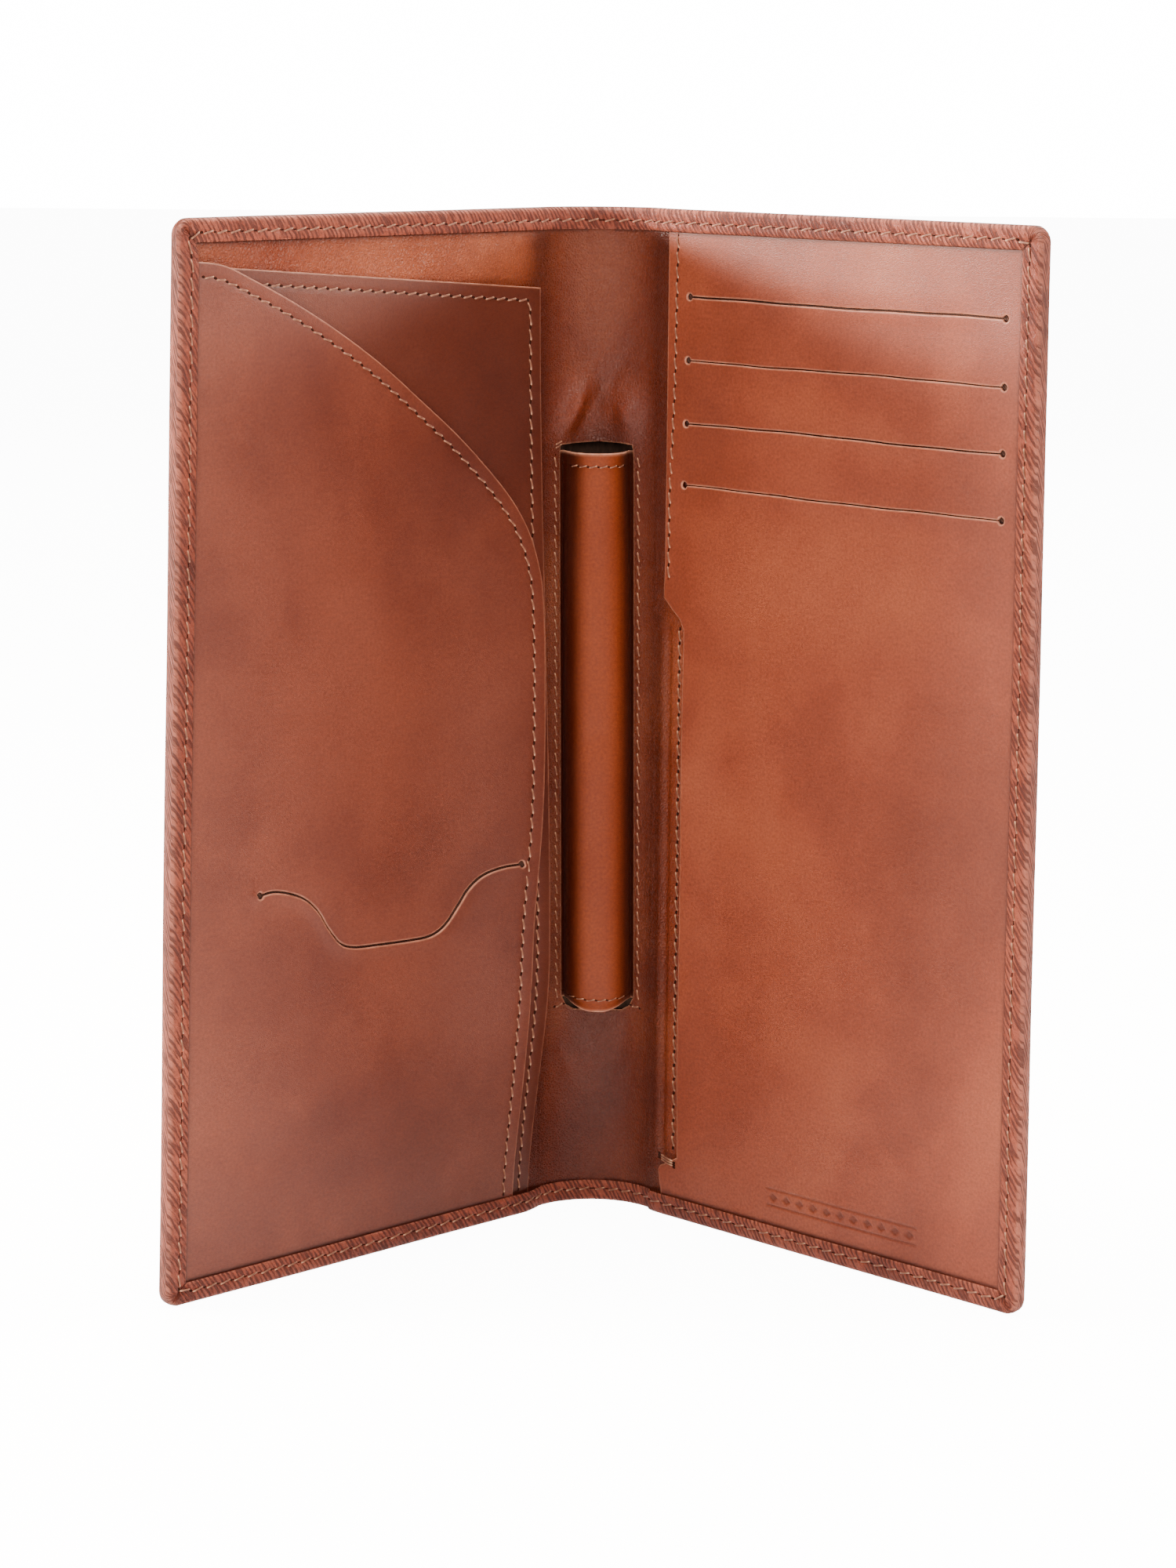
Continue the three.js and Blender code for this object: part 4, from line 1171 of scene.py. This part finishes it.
sweep = smooth_line([on_left(*p) for p in SWEEP + FREE_EDGE], 0.0012)
sewn_in = even_points([sweep[-1], on_left(pocket_reach, POCKET_TUCK), sweep[0]], OUTLINE_STEP, closed=False)
front_outline = np.concatenate([sweep, sewn_in[1:-1]])
slit_line = smooth_line([on_left(*p) for p in SLIT], 0.0008)
front_seam = beside(sweep, -POCKET_STITCH_INSET)
front_seam = front_seam[(front_seam[:, 0] > -(reach - HEM - 0.0015)) & (front_seam[:, 1] > HEM + SEAM_TUCK)]


def front_relief(s, z, edge):
    """The front pocket's face with its seam's furrow and the slit's two lips."""
    points = np.stack([s, z], -1)
    away, _ = nearest(points, tree_of(slit_line))
    level = front_face(s, z) - seam_dent(points, front_seam)
    below = z < np.interp(s, slit_line[:, 0], slit_line[:, 1])
    return level + np.where(below, *SLIT_LIPS) * dip(away, 0.0022)


front_pocket = cut_panel("front_pocket_panel", front_outline, front_relief, PANEL, pocket_calf,
                         holes=[knife_slit(slit_line, SLIT_GAP, PUNCH_RADIUS)], rings=STITCHED_RINGS,
                         cell=PANEL_CELL, shade_and_scorch=pocket_shade, shift=(1.7, 0.3))
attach(front_pocket, "left_cover")
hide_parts("front_pocket_left")
seam = sew("stitches_front_pocket", [holes_along(front_seam, POCKET_PITCH)],
           lambda s, z, lift: wallet(s, front_face(s, z) + lift - THREAD_BED, z))
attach(seam, "left_cover")
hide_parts("front_pocket_seam")


def liner_cloth():
    """Fine brown twill that backs the slits."""
    material, wire, shader = new_material("liner_cloth", 0.85, Specular_IOR_Level=0.2, Sheen_Weight=0.2)
    vector = wire.hide()
    across = wire.node("ShaderNodeTexWave", {"bands_direction": "DIAGONAL"},
                       {"Vector": vector, "Scale": 900.0, "Distortion": 0.3})["Fac"]
    color = wire.mix(across, (0.035, 0.014, 0.009, 1), (0.09, 0.035, 0.022, 1))
    wire.join(color, shader["Base Color"])
    bump = wire.node("ShaderNodeBump", {}, {"Height": across, "Strength": 0.5, "Distance": 0.0001})
    wire.join(bump["Normal"], shader["Normal"])
    return material


cloth = liner_cloth()
outer_s, crease_s = on_left(pocket_reach, 0)[0], on_left(SLIT_LINER_EDGE, 0)[0]
slit_liner = cut_panel(
    "slit_liner", rectangle(outer_s, crease_s, POCKET_TUCK, SLIT_LINER_TOP, radius=LINER_CORNER),
    lambda s, z, edge: front_face(s, z) - PANEL - LINER_GAP, SLIT_LINER, cloth, rounding=LINER_ROUNDING)
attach(slit_liner, "left_cover")
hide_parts("slit_pocket_liner")

# ---------------------------------------------------------------- card panel
# One calf panel covers the right cover. Four knife slits with punched ends make card pockets, and its
# free edge beside the spine opens a long side pocket. A row of lozenges is blind-tooled at its foot.
CARD_LEATHER = 0.0006
CARD_LEVEL = 0.0032
CARD_EDGE = 0.0026
MOUTH_EDGE = 0.0085
SLOT_TOP = 0.2108
SLOT_STEP = 0.0139
SLOTS = 4
SLOT_START, SLOT_END = 0.0090, 0.0977
SLOT_GAPS = (0.00045, 0.00028, 0.00032, 0.00026)
SLOT_LIPS = (0.0003, -0.00012)
MOUTH_STAND = 0.0006            # the long mouth stands this much further off
CARD_LINER = 0.00008
CARD_LINER_GAP = 0.00006
CARD_LINER_STEP = 0.00014       # each lower liner lies this much further back
CARD_LINER_ABOVE = 0.005        # a liner starts this far above its slot
CARD_DEPTH = 0.033
CARD_LINER_EDGE = 0.0078
CARD_OUTLINE = [(CARD_EDGE + 0.0016, POCKET_TUCK), (CARD_EDGE + 0.0002, 0.0104), (0.0034, 0.0116),
                (MOUTH_EDGE, 0.0144), (MOUTH_EDGE + 0.0002, 0.070),
                (MOUTH_EDGE, 0.1365), (0.0073, 0.1388), (0.0046, 0.1411), (CARD_EDGE - 0.0003, 0.1434),
                (CARD_EDGE, 0.150), (CARD_EDGE, height - POCKET_TUCK),
                (pocket_reach, height - POCKET_TUCK), (pocket_reach, POCKET_TUCK)]
TOOLING_LOW, TOOLING_HIGH = 0.0095, 0.0133
TOOLING_START, TOOLING_END = 0.036, 0.079
TOOLING_DEPTH = 0.00024
LOZENGES = 11


def on_right(u, z):
    """From a distance out from the right crease to the distance round the wallet."""
    return half_arc + np.asarray(u, float), z


def card_slot(index):
    """One slot's line: straight, with the slight waver of a hand-held knife."""
    z = SLOT_TOP - SLOT_STEP * index
    u = np.linspace(SLOT_START - 0.0003 * index, SLOT_END, 75)
    waver = 0.00012 * np.sin(u * 90 + index * 2.1) + 0.00005 * np.sin(u * 310 + index)
    return np.stack(on_right(u, z + waver), -1)


def tooling(s, z):
    """Depth of a pressed row of lozenges between two fine lines."""
    u = np.asarray(s) - half_arc
    middle = (TOOLING_LOW + TOOLING_HIGH) / 2
    on_row = ease(TOOLING_START - 0.0003, TOOLING_START + 0.0003, u)
    on_row = on_row * (1 - ease(TOOLING_END - 0.0003, TOOLING_END + 0.0003, u))
    pitch = (TOOLING_END - TOOLING_START) / LOZENGES
    from_middle = np.abs((u - TOOLING_START) % pitch - pitch / 2)
    lozenge = 1 - ease(0.8, 1.0, from_middle / (0.36 * pitch) + np.abs(z - middle) / 0.0011)
    lines = dip(z - TOOLING_LOW, 0.0002) + dip(z - TOOLING_HIGH, 0.0002)
    return TOOLING_DEPTH * on_row * np.clip(lozenge + lines, 0, 1)


slots = [card_slot(index) for index in range(SLOTS)]
card_seam = [on_right(CARD_EDGE + 0.0027, height - HEM - SEAM_TUCK), on_right(CARD_EDGE + 0.0022, 0.19),
             on_right(CARD_EDGE + 0.0011, 0.166), on_right(CARD_EDGE + 0.0011, 0.1475)]


def card_shade(s, z):
    """The tooling is darkened by its hot iron, and a painted shadow line runs along the hem's inner edge.
    """
    return np.maximum(0.5 * tooling(s, z) / TOOLING_DEPTH, hem_shadow(s, z))


def card_face(s, z, edge):
    """The card panel's face with its seam's furrow, its tooling, its slots' lips and its loose mouth."""
    points = np.stack([s, z], -1)
    level = CARD_LEVEL - seam_dent(points, card_seam) - tooling(s, z)
    for slot_line in slots:
        along = ease(slot_line[0, 0] - 0.001, slot_line[0, 0] + 0.02, s)
        along = along * (1 - ease(slot_line[-1, 0] - 0.02, slot_line[-1, 0] + 0.001, s))
        offset = z - np.interp(s, slot_line[:, 0], slot_line[:, 1])
        level = level + along * np.where(offset < 0, *SLOT_LIPS) * dip(offset, 0.0024)
    u = s - half_arc
    mouth = ease(0.012, 0.04, z) * (1 - ease(0.10, 0.142, z)) * (1 - ease(MOUTH_EDGE - 0.001, 0.022, u))
    return level + MOUTH_STAND * mouth


tooling_points = [on_right(u, z) for u in np.arange(TOOLING_START - 0.0008, TOOLING_END + 0.0009, 0.00042)
                  for z in np.arange(TOOLING_LOW - 0.0008, TOOLING_HIGH + 0.0009, 0.00028)]
panel_calf = smooth_calf("card_panel_calf", light=(0.320, 0.078, 0.034, 1),
                         middle=(0.230, 0.047, 0.021, 1), deep=(0.150, 0.029, 0.013, 1),
                         wear_and_glint=(0.62, 0.27, 0.17, 1), roughness=0.42, coat=0.03, gloss=0.3, cloud=17.0)
card_outline = even_points([on_right(*p) for p in CARD_OUTLINE], OUTLINE_STEP)
card_panel = cut_panel(
    "card_panel", card_outline, card_face, CARD_LEATHER, panel_calf,
    holes=[knife_slit(slot_line, gap, PUNCH_RADIUS) for slot_line, gap in zip(slots, SLOT_GAPS)],
    rings=STITCHED_RINGS, cell=PANEL_CELL, extra=tooling_points, shade_and_scorch=card_shade, shift=(3.1, 0.7))
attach(card_panel, "right_cover")
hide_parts("card_panel_right")
seam = sew("stitches_card_panel", [holes_along(card_seam, POCKET_PITCH)],
           lambda s, z, lift: wallet(s, CARD_LEVEL + lift - THREAD_BED, z))
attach(seam, "right_cover")
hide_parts("card_panel_seam")

for index in range(SLOTS):
    top = SLOT_TOP - SLOT_STEP * index + CARD_LINER_ABOVE
    level = CARD_LEVEL - CARD_LEATHER - CARD_LINER_GAP - CARD_LINER_STEP * index
    crease_s, outer_s = on_right(CARD_LINER_EDGE, 0)[0], on_right(cover_width - HEM, 0)[0]
    outline = rectangle(crease_s, outer_s, top - CARD_DEPTH, top, radius=LINER_CORNER)
    liner = cut_panel(f"card_liner_{index + 1}", outline, level_at(level), CARD_LINER, cloth,
                      rounding=LINER_ROUNDING)
    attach(liner, "right_cover")
    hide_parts(f"card_pocket_liner_{index + 1}")

# ---------------------------------------------------------------- side pocket's seam and bar tack
# A row of stitches in the recess beside the spine closes the side pocket, and a bar tack of three long
# threads holds the foot of its mouth.
SIDE_SEAM = 0.0062
SIDE_SEAM_LOW, SIDE_SEAM_HIGH = 0.0160, 0.1365
TACK_RISE = 0.00012             # the tack's threads lie this far off the panel
TACK_SKEW = 0.05
TACK = [(0.0034, 0.0140), (0.0078, 0.0126)]
TACK_SPREAD = (-0.00055, 0.0, 0.00055)

ends = [on_right(SIDE_SEAM, z) for z in (SIDE_SEAM_LOW, SIDE_SEAM_HIGH)]
seam = sew("stitches_side_pocket", [holes_along(ends, POCKET_PITCH)], on_lining)
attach(seam, "right_cover")
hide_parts("side_pocket_seam")

rows = [np.array([on_right(u, z + aside) for u, z in TACK]) for aside in TACK_SPREAD]
tack = sew("side_pocket_tack", rows, lambda s, z, lift: wallet(s, CARD_LEVEL + TACK_RISE + lift, z),
           skew=TACK_SKEW)
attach(tack, "right_cover")
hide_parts("side_pocket_bar_tack")

# ---------------------------------------------------------------- perimeter seam
# The last seam runs round the whole wallet, 3 mm in, through the hem and every layer under it. It shows
# on the hem inside and on the embossed face outside.
HEM_PITCH = 0.0037
HEM_BED = 0.00014               # the stitches lie this deep in the hem's furrow
FACE_BED = 0.0001               # and this deep in the furrow of the face
SEAM_CORNER = 0.001             # the row cuts each corner by this much
FIRST_HOLE = 0.0003             # from mid-spine


def hem_seam(side):
    """The seam's holes on one half: bottom from mid-spine, outer edge, and top back to mid-spine."""
    s, z = reach - SEAM_INSET, height - SEAM_INSET
    corner_s, corner_z = s - SEAM_CORNER, z - SEAM_CORNER
    path = [(FIRST_HOLE, SEAM_INSET), (corner_s, SEAM_INSET), (s, SEAM_INSET + SEAM_CORNER),
            (s, corner_z), (corner_s, z), (FIRST_HOLE, z)]
    return holes_along([(side * across, up) for across, up in path], HEM_PITCH)


for side, name in ((-1, "left"), (1, "right")):
    inner = sew("stitches_hem_" + name, [hem_seam(side)],
                lambda s, z, lift: wallet(s, rim_depth(s, z) - HEM_BED + lift, z))
    outer = sew("stitches_face_" + name, [hem_seam(side)],
                lambda s, z, lift: wallet(s, FACE_BED - lift, z))
    for seam in (inner, outer):
        bend_at_crease(seam)
        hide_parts("perimeter_seam_" + name, "perimeter_seam_spine_top",
                    "perimeter_seam_spine_bottom")

# ---------------------------------------------------------------- floor and light
# A plain pale floor of white paper, large soft lamps round the wallet, and a faint even sky. Floor and
# sky are lifted to white for the camera alone, so that they don't flood the leather with light.
FLOOR_SIZE = 6.0
FLOOR_GLOW = 0.4
FLOOR_LIFT = 12.0
SKY_LIGHT = 0.22
SKY_SEEN = 16.0                 # what the camera sees of it
LAMP_TINT = (1.0, 0.90, 0.80)
AIM = Vector((0, 0, 0.115))
LAMPS = {                       # each lamp's place, its width and height, and its power in watts
    "key_light": ((0.05, -0.50, 0.72), (0.45, 0.32), 3.2),
    "front_light": ((-0.12, -1.5, 0.78), (0.5, 0.6), 6.5),
    "left_light": ((-1.1, 0.05, 0.45), (0.5, 0.15), 40),
    "right_light": ((1.1, 0.0, 0.46), (0.5, 0.15), 12),
    "top_light": ((0.0, 0.05, 0.95), (0.7, 0.35), 18),
    "back_light": ((0.3, 1.5, 0.9), (1.4, 1.0), 16),
}


def floor_paper():
    """Matt white paper, lit from behind a little, and lifted to white for the camera alone."""
    material, wire, shader = new_material("floor_paper", 0.9, Specular_IOR_Level=0.1)
    vector = wire.node("ShaderNodeTexCoord", {}, {})["Object"]
    tooth = wire.noise(vector, 700.0, 2.0)
    wire.join(wire.mix(tooth, (0.93, 0.93, 0.93, 1), (0.96, 0.96, 0.96, 1)), shader["Base Color"])
    shader["Emission Color"].default_value = (1, 1, 1, 1)
    to_camera = wire.node("ShaderNodeLightPath", {}, {})["Is Camera Ray"]
    wire.join(wire.spread(to_camera, 0.0, 1.0, FLOOR_GLOW, FLOOR_LIFT), shader["Emission Strength"])
    return material


def paper_floor():
    """One flat sheet, far wider than the wallet."""
    mesh = bpy.data.meshes.new("floor")
    corners = [(x * FLOOR_SIZE, y * FLOOR_SIZE, 0) for x, y in ((-1, -1), (1, -1), (1, 1), (-1, 1))]
    mesh.from_pydata(corners, [], [(0, 1, 2, 3)])
    mesh.materials.append(floor_paper())
    piece = bpy.data.objects.new("floor", mesh)
    bpy.context.scene.collection.objects.link(piece)


def lamp(name, place, size, power):
    """A soft lamp of this width and height, turned towards the wallet's middle."""
    light = bpy.data.lights.new(name, "AREA")
    light.shape = "RECTANGLE"
    light.size, light.size_y = size
    light.energy = power
    light.color = LAMP_TINT
    piece = bpy.data.objects.new(name, light)
    piece.location = place
    piece.rotation_euler = (AIM - Vector(place)).to_track_quat("-Z", "Y").to_euler()
    bpy.context.scene.collection.objects.link(piece)


paper_floor()
for name, (place, size, power) in LAMPS.items():
    lamp(name, place, size, power)

world = bpy.data.worlds.new("studio")
world.use_nodes = True
sky = Wiring(world.node_tree)
background = world.node_tree.nodes["Background"].inputs
background["Color"].default_value = (1, 1, 1, 1)
seen = sky.node("ShaderNodeLightPath", {}, {})["Is Camera Ray"]
sky.join(sky.spread(seen, 0.0, 1.0, SKY_LIGHT, SKY_SEEN), background["Strength"])
bpy.context.scene.world = world

bpy.context.view_layer.update()
